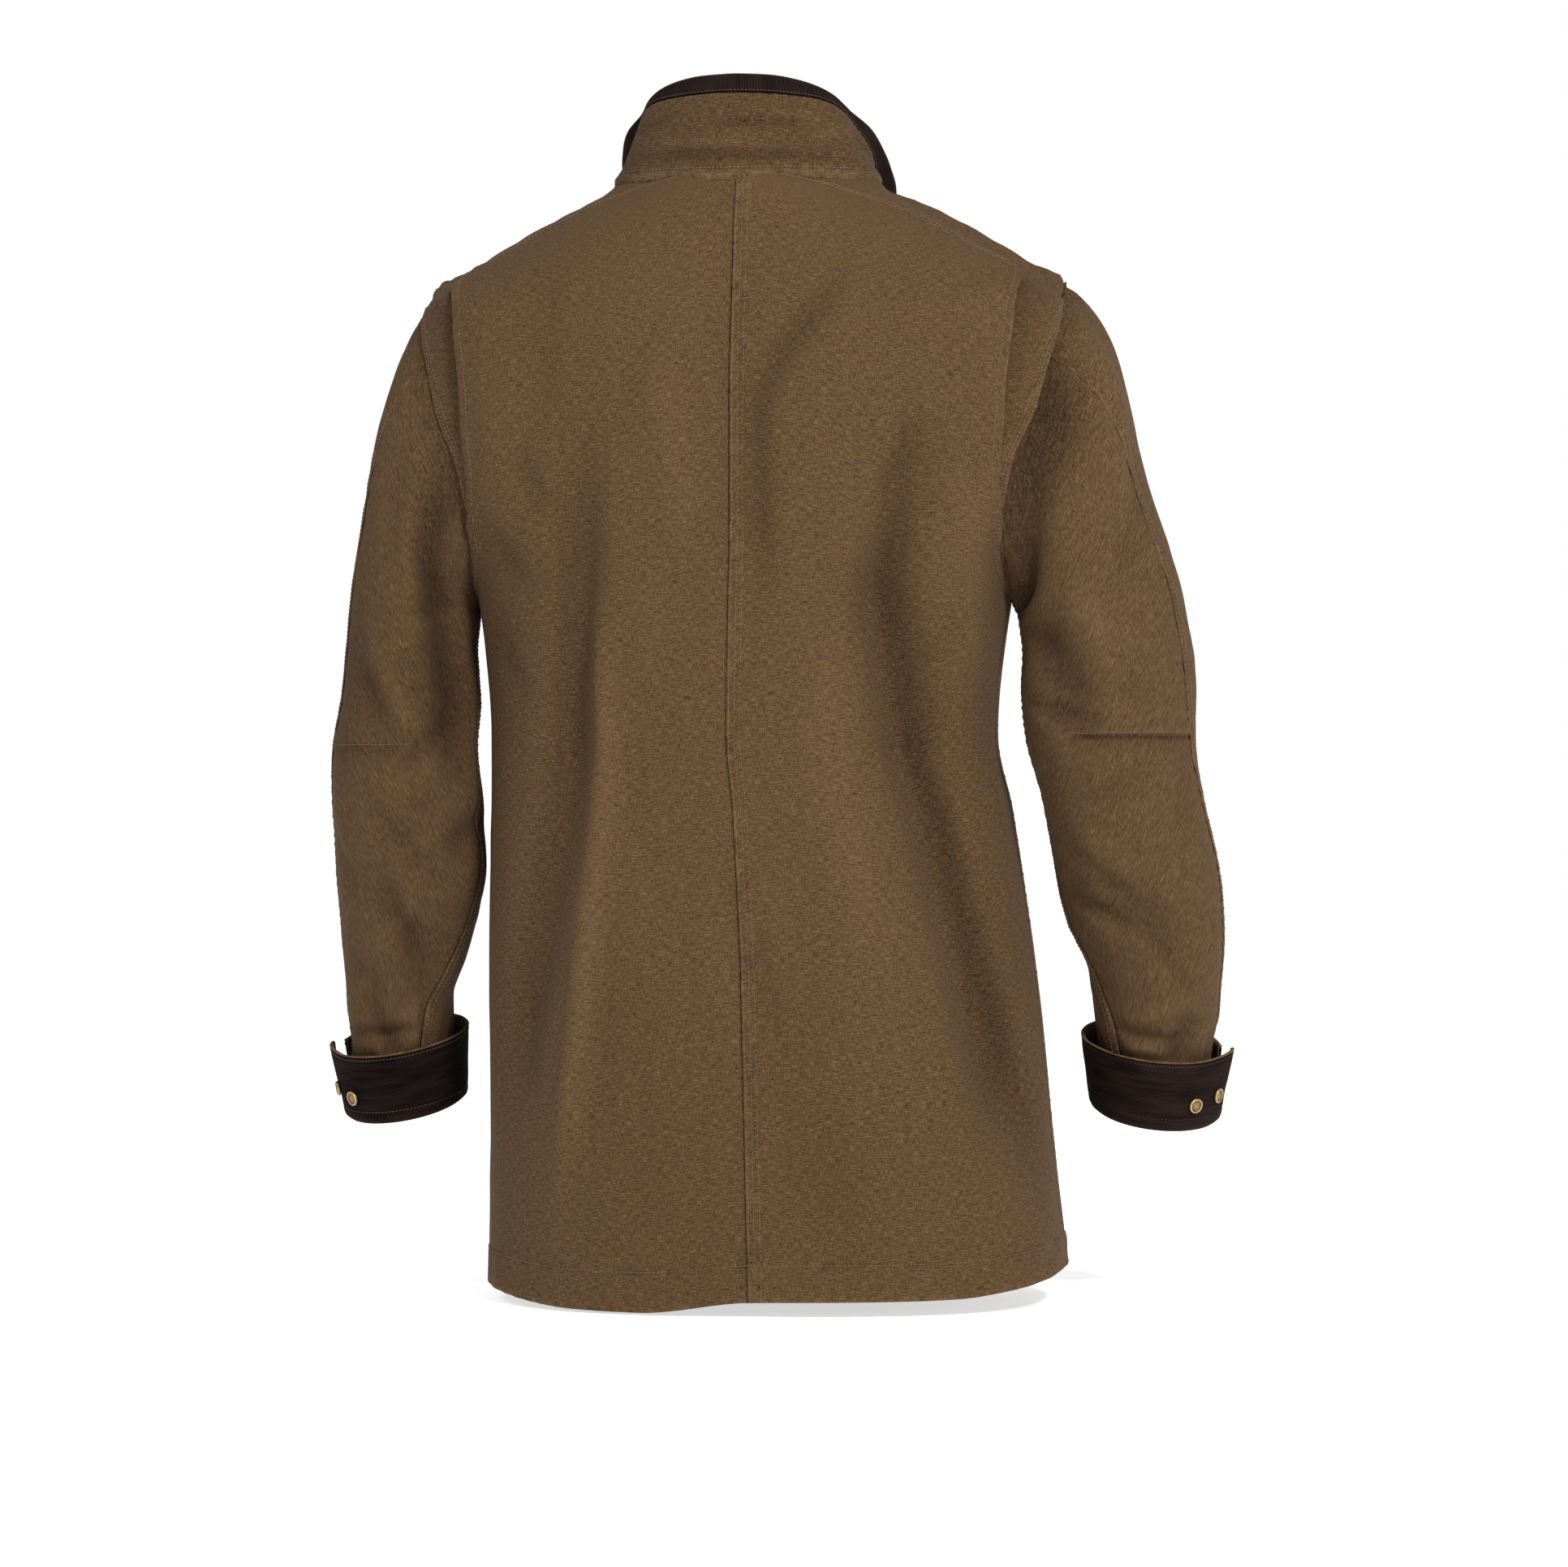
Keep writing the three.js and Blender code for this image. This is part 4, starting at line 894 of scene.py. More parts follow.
def pleat_detail(base, angle, up, from_start, from_end):
    below = 1 - smooth(TIP_UP - 6, TIP_UP + 4, up)
    inner = 1 - smooth(0, 1, from_start / (from_start + from_end))
    sunk = PLEAT_SINK * inner * smooth(PLEAT_UP, PLEAT_UP + 30, up)
    lift = below * (sewn_edge(from_end, up, 11, 0.7, ARM_ROWS, 55) - sunk) - 0.25 * (1 - below)
    # the strip is painted darker towards the pleat's edge, as the shadow under the pleat
    return lift, below * sewn_wear(from_end, ARM_ROWS, up, 57) - 0.45 * sunk / PLEAT_SINK


beside_arm = smooth(ARMPIT_UP - 6, ARMPIT_UP, front_rings) * (1 - smooth(TIP_UP - 2, TIP_UP, front_rings))
for side, sign in SIDES.items():
    body_panel(f"back_{side}", body_rings, middle_seam, mirrored(sign, pleat_angle),
               back_detail(sign), TUCK if sign > 0 else 0.0)
    body_panel(f"back_pleat_{side}", pleat_rings, mirrored(sign, pleat_start),
               mirrored(sign, arm_back_angle), pleat_detail)
    body_panel(f"front_{side}", front_rings, mirrored(sign, front_edge),
               mirrored(sign, lap_edge), front_detail(sign), TUCK * (1 - beside_arm))

# %% [markdown]
# ## The sleeves
# A workwear sleeve is two panels, a wide top and a narrower under, sewn into the armhole. The seam
# at the back runs down to the elbow, where a short dart makes it bend. The arms hang a little
# forward, so the cloth folds inside the elbow and gathers above the cuff.

# %% The sleeves' surface
SLEEVE_ROW_LENGTH = 48       # mean length of sleeve between two rows of its table
SLEEVE_RADIUS = 58           # mean radius of a sleeve
SLEEVE_END = 11              # where the sleeves end, counted in rows
CAP = 1                      # where a cap ends on the sleeve's length
CAP_SWELL = {1: 0.15, -1: 0.8}
ELBOW_PAINTED_SHADE = {1: 0.26, -1: 0.0}      # painted shade: how much darker the cloth is above each elbow

SLEEVES = {
    1: {
        "along": [1, 2, 3, 4, 5, 6, 7, 8, 9, 10, 11],
        "z":     [-300, -352, -400, -450, -497, -540, -580, -620, -655, -690, -733],
        "x":     [261, 266, 266, 270, 269, 270, 274, 280, 286, 286, 285],
        "y":     [8, 16, 25, 30, 23, 10, -4, -17, -27, -36, -46],
        "wide":  [45.5, 50, 54, 57, 60, 60, 56, 49, 42, 40, 39],
        "deep":  [68, 67, 65, 62, 60, 57, 54, 50, 47, 45, 43],
        "rise":  [45, 22, 6, 0, 0, 0, -2, -4, -6, -7, -6],
        "lift":  [0, 0, 0, 0, -3, -7, -10, -12, -13, -13, -12],
    },
    -1: {
        "along": [1, 2, 3, 4, 5, 6, 7, 8, 9, 10, 11],
        "z":     [-300, -352, -400, -440, -491, -540, -581, -626, -655, -690, -733],
        "x":     [271, 285, 290, 292, 302, 311, 316, 323, 323, 321, 321],
        "y":     [8, 16, 25, 30, 24, 10, -4, -18, -27, -36, -46],
        "wide":  [53, 63, 68, 66, 63, 64, 62, 52, 49, 43, 41],
        "deep":  [68, 67, 66, 64, 61, 58, 55, 51, 48, 45, 43],
        "rise":  [45, 22, 6, 0, 0, 0, -2, -4, -6, -7, -6],
        "lift":  [0, 0, 0, 0, -3, -7, -10, -12, -13, -13, -12],
    },
}
SLEEVE_FOLDS = {
    1: {
        "along":     [4.6, 6.2, 8.2, 5.0, 0.1, 2.1, 0.6],
        "turn":      [130, 60, 60, 190, 80, 60, 128],
        "to_along":  [5.6, 8.0, 9.8, 5.6, 1.2, 3.8, 4.4],
        "to_turn":   [80, 140, 95, 130, 128, 112, 150],
        "push":      [-3, -4, -6, -7, -12, 5, -13],
        "width":     [12, 13, 12, 14, 12, 10, 19],
    },
    -1: {
        "along":     [0.12, 0.18, 1.5, 1.3, 6.0, 8.6, 3.3],
        "turn":      [42, 100, 145, 104, 110, 50, 135],
        "to_along":  [0.22, 0.75, 3.4, 2.9, 7.2, 9.8, 3.75],
        "to_turn":   [105, 165, 104, 76, 60, 70, 90],
        "push":      [-13, -13, -9, 4, -4, -7, -6],
        "width":     [11, 13, 17, 11, 14, 13, 8],
    },
}
SLEEVE_SEAMS = {
    "along": [0, 0.5, 1, 3, 4, 5, 7, 9, 11],
    "back":  [45, 38, 30, 25, 18, 10, 5, 4, 4],
    "inner": [180, 180, 180, 180, 180, 178, 158, 130, 117],
}
# Finer creases, in the same measure as the folds.
SLEEVE_CREASES = {
    1: {
        "along":     [0.3, 0.9, 1.6, 2.6, 3.4, 4.64, 5.9, 6.4, 7.4, 9.1, 8.5, 9.7, 5.2, 8.9, 4.0, 7.0],
        "turn":      [60, 150, 120, 50, 150, 66, 75, 110, 40, 17, 118, 60, 20, -30, 330, 300],
        "to_along":  [1.4, 1.7, 2.6, 3.9, 4.4, 6.2, 8.8, 7.6, 8.4, 9.2, 9.8, 10.2, 6.4, 9.6, 5.0, 8.2],
        "to_turn":   [85, 100, 80, 95, 95, 126, 137, 74, 88, 120, 119, 100, 60, 20, 280, 330],
        "push":      [-3, -4, 2.6, -4, -4, -3.6, -5, 3, -3, -5, 5, -3, -2.6, -2.4, -3, -3],
        "width":     [9, 9, 10, 9, 9, 8, 9, 9, 9, 8, 7, 6, 9, 8, 10, 10],
    },
    -1: {
        "along":     [0.2, 0.6, 2.2, 3.2, 4.4, 5.3, 6.3, 7.0, 8.1, 9.1, 9.7, 4.0, 8.8, 4.2, 7.0, 9.3],
        "turn":      [20, 20, 92, 150, 60, 130, 154, 88, 60, 130, 50, 20, -30, 330, 300, 40],
        "to_along":  [1.1, 1.6, 3.5, 4.2, 5.0, 6.2, 7.1, 8.0, 9.0, 9.4, 10.2, 5.4, 9.5, 5.0, 8.2, 9.5],
        "to_turn":   [48, 70, 60, 95, 112, 84, 84, 56, 116, 50, 100, 50, 20, 280, 330, 120],
        "push":      [4, -3.5, -3, -4, -3, 3.4, -5, -4, 3, -4.5, 3, -2.6, -2.4, -3, -3, 3.5],
        "width":     [10, 9, 10, 9, 8, 9, 9, 8, 9, 8, 7, 10, 8, 10, 10, 7],
    },
}
DART = {1: 3.93, -1: 3.95}   # where the elbow's dart lies along each sleeve
DART_LENGTH = {1: 90, -1: 112}
print("rows in a sleeve's table:", len(SLEEVES[1]["along"]))

# %% Points of a sleeve
def ring_point(row, turn, sign, grow=0.0):
    """A point of a sleeve's ring. turn: 0 at its outer side, 90 at its back, 180 inside."""
    x = sign * (row["x"] + (row["wide"] + grow) * cosine(turn))
    y = row["y"] + (row["deep"] + grow) * sine(turn)
    z = row["z"] + row["rise"] * cosine(turn) + row["lift"] * sine(turn)
    return np.stack(np.broadcast_arrays(x, y, z), axis=-1)


def sleeve_row(sign, along):
    table = SLEEVES[sign]
    return {name: column(table, "along", name, along) for name in table if name != "along"}


def armhole_place(turn, sign):
    """The armhole as a loop: turn 0 at the shoulder tip, 90 at the back, 180 at the armpit."""
    up = lerp(ARMPIT_UP, TIP_UP, (1 + cosine(turn)) / 2)
    is_front = np.mod(turn, 360) > 180
    return sign * np.where(is_front, edge_angle(up, "arm_front", True), edge_angle(up, "arm_back")), up


def armhole_point(turn, sign):
    return body_point(*armhole_place(turn, sign))


def line_creases(table, turn, along, lean):
    """The push of folds that are given by rows along the sleeve and degrees round it."""
    in_mm = {"push": table["push"], "width": table["width"]}
    for before in ("", "to_"):
        in_mm[before + "x"] = np.radians(table[before + "turn"]) * SLEEVE_RADIUS
        in_mm[before + "z"] = np.array(table[before + "along"]) * SLEEVE_ROW_LENGTH
    round_mm = np.radians(np.mod(turn, 360)) * SLEEVE_RADIUS
    return crease_push(in_mm, round_mm, along * SLEEVE_ROW_LENGTH, lean, (-0.15, 0.3, 0.7, 1.15))


def sleeve_fold(turn, along, sign):
    push = line_creases(SLEEVE_FOLDS[sign], turn, along, 0.0)
    return np.stack([sign * cosine(turn) * push, sine(turn) * push, 0 * push], axis=-1)


def sleeve_point(sign, turn, along):
    """A point of a sleeve. along: 0 to 1 over its cap, then one more for each row."""
    turn, along = np.broadcast_arrays(np.asarray(turn, float), np.asarray(along, float))
    lower = ring_point(sleeve_row(sign, along), turn, sign)
    start = armhole_point(turn, sign)
    end = ring_point(sleeve_row(sign, np.ones(turn.shape)), turn, sign)
    following = ring_point(sleeve_row(sign, 2 * np.ones(turn.shape)), turn, sign)
    length = np.linalg.norm(start - end, axis=-1, keepdims=True)
    outwards = 0.3 + 0.45 * sine(turn) ** 2 + CAP_SWELL[sign] * (1 + cosine(turn)) / 2
    leave = unit(np.stack([sign * outwards, 0.02 + 0 * turn, -0.8 + 0 * turn], axis=-1))
    arrive = unit(following - end)
    start = start + leave * ARMHOLE_ROOM
    cap = hermite(start, end, leave * length, arrive * length, np.clip(along, 0, 1)[..., None])
    point = np.where((along >= CAP)[..., None], lower, cap)
    return point + sleeve_fold(turn, along, sign)


print("left sleeve ends at, mm:", np.round(sleeve_point(1, 0.0, 11.0), 1))

# %% Cut the sleeves
SLEEVE_ROWS = [1.8, 7.0]     # stitch rows beside the back seam
sleeve_rings = np.concatenate([
    [0, 0.006, 0.02, 0.04, 0.07, 0.11], evenly(0.16, 0.92, 22), evenly(1, 10.95, 118), [10.985, 11],
])


def seam_turn(name):
    return lambda along: column(SLEEVE_SEAMS, "along", name, along)


def full_turn_back(along):
    return seam_turn("inner")(along) - 360


def armhole_tuck(turn, sign):
    """Two more rings of a sleeve, which run on under the edge of the armhole."""
    edge = armhole_point(turn, sign)
    middle = armhole_point(np.arange(0.0, 360.0, 10.0), sign).mean(axis=0)
    normal = body_normal(*armhole_place(turn, sign))
    away = edge - middle
    away = unit(away - normal * np.sum(away * normal, axis=-1, keepdims=True))
    return np.stack([edge + away * 6 - normal * 2.4, edge + away * 0.5 - normal * 1.8], axis=1)


def before_rings(values, count):
    """A grid with its first ring repeated before it."""
    return np.concatenate([values[:, :1]] * count + [values], axis=1)


def dart(sign, along, from_start):
    """The elbow's dart: a sewn fold and the hollow round it, the pale rubbing on the fold, and painted shade
    along its seam line and in the hollow below it.
    """
    below = (along - DART[sign]) * SLEEVE_ROW_LENGTH
    sewn = smooth(0, 1, from_start) * (1 - smooth(DART_LENGTH[sign] - 12, DART_LENGTH[sign], from_start))
    hollow = smooth(0, 30, from_start) * (1 - smooth(60, 130, from_start))
    fold = 0.8 * (1 - smooth(-0.5, 0.5, below)) * smooth(-9, -7, below) - 1.9 * near_line(below, 1.6)
    # pale rubbing on the fold; painted shade along the seam line and in the hollow below it
    rubbed_and_shaded = 0.22 * near_line(below + 2.2, 1.4) - 1.1 * near_line(below, 1.5)
    return (sewn * fold - 2.4 * hollow * near_line(below, 9),
            sewn * rubbed_and_shaded - 0.16 * hollow * near_line(below - 5, 8))


def sleeve_piece(name, sign, start, end, lapped):
    """A sleeve panel. lapped: whether its edges lie on top at their seams."""
    def surface(turn, along):
        return sleeve_point(sign, turn, along)

    tuck = 0.0 if lapped else TUCK
    hidden = math.degrees(tuck / SLEEVE_RADIUS)
    first, last = start(sleeve_rings) - hidden, end(sleeve_rings) + hidden
    near, middle = NEAR_EDGE[:13], int(COLUMNS[kind_of(name)] * FINE)
    turn = spread(surface, first, last, sleeve_rings, near, near, middle)
    along = sleeve_rings[None, :] + 0 * turn
    base = surface(turn, along)
    normal = normal_of(surface, turn, np.clip(along, 0.02, SLEEVE_END - 0.02), -sign, 1, 0.01)
    whole = lengths_along(base, 0)
    from_start, from_end = whole - tuck, whole[-1:] - whole - tuck
    down = lengths_along(base, 1)
    at_cap = near_line(down, 14)
    calm = smooth(0, 14, from_start) * smooth(0, 14, from_end)
    fine = line_creases(SLEEVE_CREASES[sign], turn, along, 0.25)
    free = smooth(0, 0.5, along) * (1 - smooth(9.7, 10.6, along))
    round_mm = np.radians(np.mod(turn, 360)) * SLEEVE_RADIUS
    rolling = 0.9 * waves(round_mm, down, 26, 48, 61) + 0.4 * waves(round_mm, down, 12, 17, 62)
    gathers = np.sin(2 * np.pi * round_mm / 31 + 3 * waves(round_mm, down, 40, 60, 63))
    gathers = 1.1 * gathers * smooth(8.6, 9.6, along) * (1 - smooth(10.2, 10.7, along))
    lift = (fine * free + rolling * (0.3 + 0.7 * free)) * lerp(0.45, 1, calm) + gathers
    lift += pucker(down, round_mm, 65) * 1.6 * at_cap - 0.9 * (1 - smooth(0, 7, down))
    # painted shade: the sleeve is darker in the valleys of its creases and folds and lighter on their
    # ridges, and darker just below the armhole seam as its shadow
    wear_and_painted_shade = 0.04 * fine + 0.045 * line_creases(SLEEVE_FOLDS[sign], turn, along, 0.0) - 0.25 * at_cap
    # painted shade above the elbow
    wear_and_painted_shade -= ELBOW_PAINTED_SHADE[sign] * near_line(along - 2.8, 1.1)
    if not lapped:
        fold, rubbed_and_shaded = dart(sign, along, from_start)
        lift, wear_and_painted_shade = lift + fold, wear_and_painted_shade + rubbed_and_shaded
    for distance in (from_start, from_end):
        if lapped:
            lift += sewn_edge(distance, down, 8.4, 0.8, SLEEVE_ROWS, 67)
            wear_and_painted_shade += edge_wear(distance, down, 71) + sewn_wear(distance, SLEEVE_ROWS, down, 73)
        else:
            lift += pucker(distance, down, 67) - 0.25 * near_line(distance, 1.5)
            lift -= TUCK_DEPTH * (1 - smooth(-0.6, 0.5, distance))
            wear_and_painted_shade -= 0.4 * near_line(distance, 1.1)
    outer = np.concatenate([armhole_tuck(turn[:, 0], sign), base + normal * lift[..., None]], axis=1)
    normal, wear_and_painted_shade, down, turn, from_start, from_end = (
        before_rings(values, 2) for values in (normal, wear_and_painted_shade, down, turn, from_start, from_end))
    down[:, 0], down[:, 1] = down[:, 2] - 6, down[:, 2] - 3
    panels[name] = {"outer": outer, "normal": normal, "up": down,
                    "from_start": from_start, "from_end": from_end,
                    "along": np.concatenate([[-0.2, -0.1], sleeve_rings])[None, :]}
    uv = np.stack([np.radians(turn) * SLEEVE_RADIUS, down], axis=-1)
    piece = shell(name, outer, outer - normal * CLOTH, wear_and_painted_shade, CANVAS_CLOTH, uv)


for side, sign in SIDES.items():
    sleeve_piece(f"sleeve_top_{side}", sign, full_turn_back, seam_turn("back"), True)
    sleeve_piece(f"sleeve_under_{side}", sign, seam_turn("back"), seam_turn("inner"), False)

# %% [markdown]
# ## The collar
# The collar is turned up. Its canvas side shows behind, and its corduroy facing comes over the top
# edge as a narrow dark band. Corduroy is woven with rows of pile, and on this collar the rows cross
# the band, so each rib is a small ridge in the shell.

# %% The collar's leaf
COLLAR_END = 171             # angle from the centre back to each end of the collar
COLLAR_ROOM = 1.8            # more room under the collar where it leans over the fronts
WING = {1: 13, -1: 9}        # how much further out each wing of the collar falls
COLLAR_BULGE = 3.5           # how far the middle of the leaf swells out
COLLAR_FLARE = {1: 3.4, -1: 2.2}     # how much that turns hollow at each side, so the edge flares
COLLAR_DARK = 0.2            # how much darker the leaf is than the body
COLLAR_LAP = 110             # how steeply the leaf drops behind the shoulder below its seam
RIB_PITCH = 2.1              # distance between two ribs of the collar's corduroy
RIB_HEIGHT = 0.55            # height of a rib
RIBS = int(330 * (1))
MM_A_DEGREE = 1.45           # length along the collar's seam for each degree round the neck

COLLAR_TOP = {
    "angle": [0, 22, 40, 60, 80, 95, 107, 117, 125, 133, 148, 171],
    "reach": [74, 75, 78, 80, 82, 91, 99, 111, 124, 134, 139, 136],
    "z":     [80, 79, 75.5, 69, 58.5, 47, 35, 21, 6.5, -8, -23, -28],
}
# Soft wrinkles of the leaf: places in degrees round the neck and shares of its height.
COLLAR_WRINKLES = {
    "angle":     [52, 50, 14, -10, -70, -95, 80, 30],
    "height":    [0.20, 0.34, 0.50, 0.62, 0.55, 0.45, 0.40, 0.62],
    "to_angle":  [-58, -16, -44, -52, -40, -70, 104, 64],
    "to_height": [0.17, 0.30, 0.54, 0.56, 0.40, 0.55, 0.50, 0.50],
    "push":      [-2.4, 1.8, -2.2, 1.7, 1.5, -1.8, -1.8, -1.6],
    "width":     [0.05, 0.055, 0.05, 0.05, 0.06, 0.08, 0.08, 0.06],
}
print("soft wrinkles of the leaf:", len(COLLAR_WRINKLES["push"]))

# %% Points of the leaf
def collar_point(angle, height):
    """A point of the leaf's middle. height: length up the leaf as a share of its whole."""
    angle, height = np.broadcast_arrays(np.asarray(angle, float), np.asarray(height, float))
    base = body_point(angle, NECK_UP + 0 * angle)
    base[..., 2] += SEAM_GAP + COLLAR_ROOM * smooth(50, 100, np.abs(angle))
    reach = column(COLLAR_TOP, "angle", "reach", np.abs(angle))
    reach = reach + np.where(angle < 0, WING[-1], WING[1]) * smooth(70, 115, np.abs(angle))
    top = column(COLLAR_TOP, "angle", "z", np.abs(angle))
    end = np.stack([reach * sine(angle), BODY["mid"][-1] + reach * cosine(angle), top], axis=-1)
    above = np.maximum(height, 0)
    flare = np.where(angle < 0, COLLAR_FLARE[-1], COLLAR_FLARE[1]) * smooth(55, 95, np.abs(angle))
    bulge = 4 * above * (1 - above) * COLLAR_BULGE * (1 - flare)
    swell = np.stack([bulge * sine(angle), bulge * cosine(angle), 0 * bulge], axis=-1)
    base[..., 2] += COLLAR_LAP * np.minimum(height, 0)
    return lerp(base, end, above[..., None]) + swell


def collar_normal(angle, height):
    return normal_of(collar_point, angle, height, -1, 0.5, 0.02)


def leaf_length(angle):
    return np.linalg.norm(collar_point(angle, 1.0) - collar_point(angle, 0.0), axis=-1)


def leaf_wrinkle(angle, share):
    push = np.zeros(np.shape(angle))
    for fold in rows_of(COLLAR_WRINKLES):
        along = (angle - fold["angle"]) / (fold["to_angle"] - fold["angle"])
        off = share - lerp(fold["height"], fold["to_height"], along)
        ends = smooth(-0.1, 0.35, along) * (1 - smooth(0.65, 1.1, along))
        push += fold["push"] * ends * np.exp(-(off / fold["width"]) ** 2)
    push += 0.5 * waves(angle * 1.6 + 400, share * 60, 22, 20, 81)
    return push * smooth(0.02, 0.16, share) * (1 - smooth(0.84, 0.97, share))


def leaf_offset(angle, rise, out):
    """A point of the leaf. rise: millimetres up it. out: millimetres outwards."""
    share = rise / leaf_length(angle)
    normal = collar_normal(angle, np.clip(share, 0.02, 0.98))
    return collar_point(angle, share) + normal * (out + leaf_wrinkle(angle, share))[..., None]


def band_width(angle):
    return lerp(15, 11, smooth(20, 60, np.abs(angle))) + 4 * smooth(70, 100, np.abs(angle))


print("height of the collar at the back, mm:", np.round(leaf_length(np.array([0.0]))))

# %% Make the collar
COLLAR_ROWS = [2.2, 5.0]
collar_turns = np.concatenate([
    [COLLAR_END, COLLAR_END - 0.2], evenly(COLLAR_END - 1, 1 - COLLAR_END, 170),
    [0.2 - COLLAR_END, -COLLAR_END],
])
leaf_shares = np.concatenate([[-0.06, -0.055, -0.03, 0, 0.02, 0.04, 0.07], evenly(0.1, 0.97, 30), [0.99, 1]])
turn, share = np.meshgrid(collar_turns, leaf_shares, indexing="ij")
whole = leaf_length(turn) - band_width(turn) - 2.5 * SEAM_GAP
rise = share * whole
round_neck = turn * MM_A_DEGREE
leaf_push = sewn_edge(rise, round_neck, 7.5, 0.5, COLLAR_ROWS, 83)
leaf_push += pucker(whole - rise, round_neck, 84) + groove(whole - rise - 2.4)
leaf_out = leaf_offset(turn, rise, CANVAS + leaf_push)
leaf_in = leaf_offset(turn, rise, CANVAS - CLOTH + 0 * leaf_push)
wear_and_painted_shade = edge_wear(rise, round_neck, 85) + sewn_wear(rise, COLLAR_ROWS, round_neck, 87)
# painted shade: the leaf is darker in the hollows of its wrinkles and lighter on their ridges
wear_and_painted_shade += 0.11 * leaf_wrinkle(turn, rise / leaf_length(turn)) + 0.5 * edge_wear(whole - rise, round_neck, 89)
wear_and_painted_shade -= COLLAR_DARK * smooth(0, 12, rise)
leaf = shell("collar_outer", leaf_out, leaf_in, wear_and_painted_shade, CANVAS_CLOTH,
             np.stack([round_neck, rise], axis=-1))
panels["collar_outer"] = {"outer": leaf_out, "up": rise}

# %% Make the corduroy facing
# Its section goes up inside the leaf, over its top and down outside. Each row has a rise and an out.
INSIDE = -4 * SEAM_GAP       # how far inside the leaf's middle the facing lies
ROLL = [(-1.0, 1.45), (0.1, 1.1), (0.75, 0.45), (0.9, -0.3), (0.75, -1.0), (0.1, -1.7), (-1.0, -2.1)]
UP_ROWS, DOWN_ROWS = 9, 8    # rows of the section before the roll and after it


def facing_section(turns, is_skin):
    """The facing's far skin, or the near one that lies on the leaf."""
    top, low = leaf_length(turns), leaf_length(turns) - band_width(turns)
    rows = [(share * (top - 3), INSIDE - CORDUROY * is_skin) for share in np.linspace(0, 1, UP_ROWS)]
    rows += [(top + up, INSIDE / 2 - out) if is_skin else (top - 0.9, INSIDE / 2) for up, out in ROLL]
    out = CORDUROY + 0.2 if is_skin else 0.05
    rows += [(lerp(top - 2.5, low, share), out) for share in np.linspace(0, 1, DOWN_ROWS)]
    rows += [(low - 0.1, CORDUROY * 0.35) if is_skin else (low - 0.05, 0.1)]
    return (np.stack([row[k] + 0 * turns for row in rows], axis=1) for k in (0, 1))


rib_turns = np.linspace(COLLAR_END, -COLLAR_END, RIBS * 4 + 1)
skin_rise, skin_out = facing_section(rib_turns, True)
near_rise, near_out = facing_section(rib_turns, False)
turn = rib_turns[:, None] + 0 * skin_rise
places = lengths_along(leaf_offset(turn, leaf_length(turn), 0 * turn), 0)
rib = np.abs(np.sin(np.pi * (places / RIB_PITCH + 0.08 * waves(places, skin_rise, 30, 20, 91)))) ** 0.8
row_number = np.arange(skin_rise.shape[1])[None, :]
rolled = (row_number >= UP_ROWS) & (row_number < UP_ROWS + len(ROLL))
skin_lift = RIB_HEIGHT * (rib - 1)
skin_grid = leaf_offset(turn, skin_rise + rolled * skin_lift,
                        skin_out + np.where(row_number < UP_ROWS, -1, ~rolled) * skin_lift)
near_grid = leaf_offset(turn, near_rise, near_out)
wear_and_painted_shade = 0.25 * rolled + 0.2 * waves(places, skin_rise, 18, 12, 93)
wear_and_painted_shade += 0.3 * waves(places, skin_rise, 3.2, 30, 94)
wear_and_painted_shade -= 0.5 * near_line(skin_rise - leaf_length(turn) + band_width(turn), 1.0) * (skin_out > 0)
facing = shell("collar_facing", skin_grid, near_grid, wear_and_painted_shade, PILE,
               np.stack([places, skin_rise], axis=-1), {"rib": (rib, 0.3 + 0 * rib)})

# %% [markdown]
# ## The cuffs
# Each cuff is the sleeve's end turned back up. Its corduroy lining is outside now, with the rows of
# pile going round the wrist, and a thin line of canvas shows along its top. It laps at the outer
# side, where two snaps set how tight it is.

# %% The cuffs' surface
CUFF_HEIGHT = 53
CUFF_FLARE = 3               # how much further out the cuff's top is than its bottom
CUFF_ROOM = 7                # from the sleeve's outside to the cuff at its bottom
CUFF_FREE = -6               # turn of the cuff's free end
CUFF_UNDER = 350             # turn of its under end
CUFF_SPIRAL = 3.4            # how far the free end lies outside the under end
CUFF_CORNER = 5              # how far the free end's top corner stands off
WALE_PITCH = 1.75            # distance between two rows of pile on the cuffs
WALE_HEIGHT = 0.65
CUFF_ROWS = [7.5, CUFF_HEIGHT - 2.0]     # heights of the stitch rows round a cuff


def wrist_row(sign, height):
    table = SLEEVES[sign]
    share = height / (table["z"][-2] - table["z"][-1])
    return {name: lerp(table[name][-1], table[name][-2], share) for name in table if name != "along"}


def cuff_point(sign, turn, height, out, held=0.0):
    """A point of a cuff. height: above the sleeve's end. out: off the cuff's middle."""
    wound = (CUFF_UNDER - turn) / (CUFF_UNDER - CUFF_FREE)
    corner = smooth(0.9, 1, wound) * smooth(0.2, 1, height / CUFF_HEIGHT)
    room = CUFF_ROOM + CUFF_SPIRAL * wound + CUFF_FLARE * (height / CUFF_HEIGHT) + CUFF_CORNER * corner
    return ring_point(wrist_row(sign, height), turn, sign, room * (1 - held) + out)


def cuff_wrinkle(turn, height, sign):
    """The cuff is stiff, so it only rolls a little in and out."""
    roll = waves(turn + 40, height, 34, 40, 95 + sign) + 0.4 * waves(turn + 40, height, 12, 14, 97 + sign)
    return roll * smooth(0, 8, height)


print("rows of pile on a cuff:", round(CUFF_HEIGHT / WALE_PITCH))

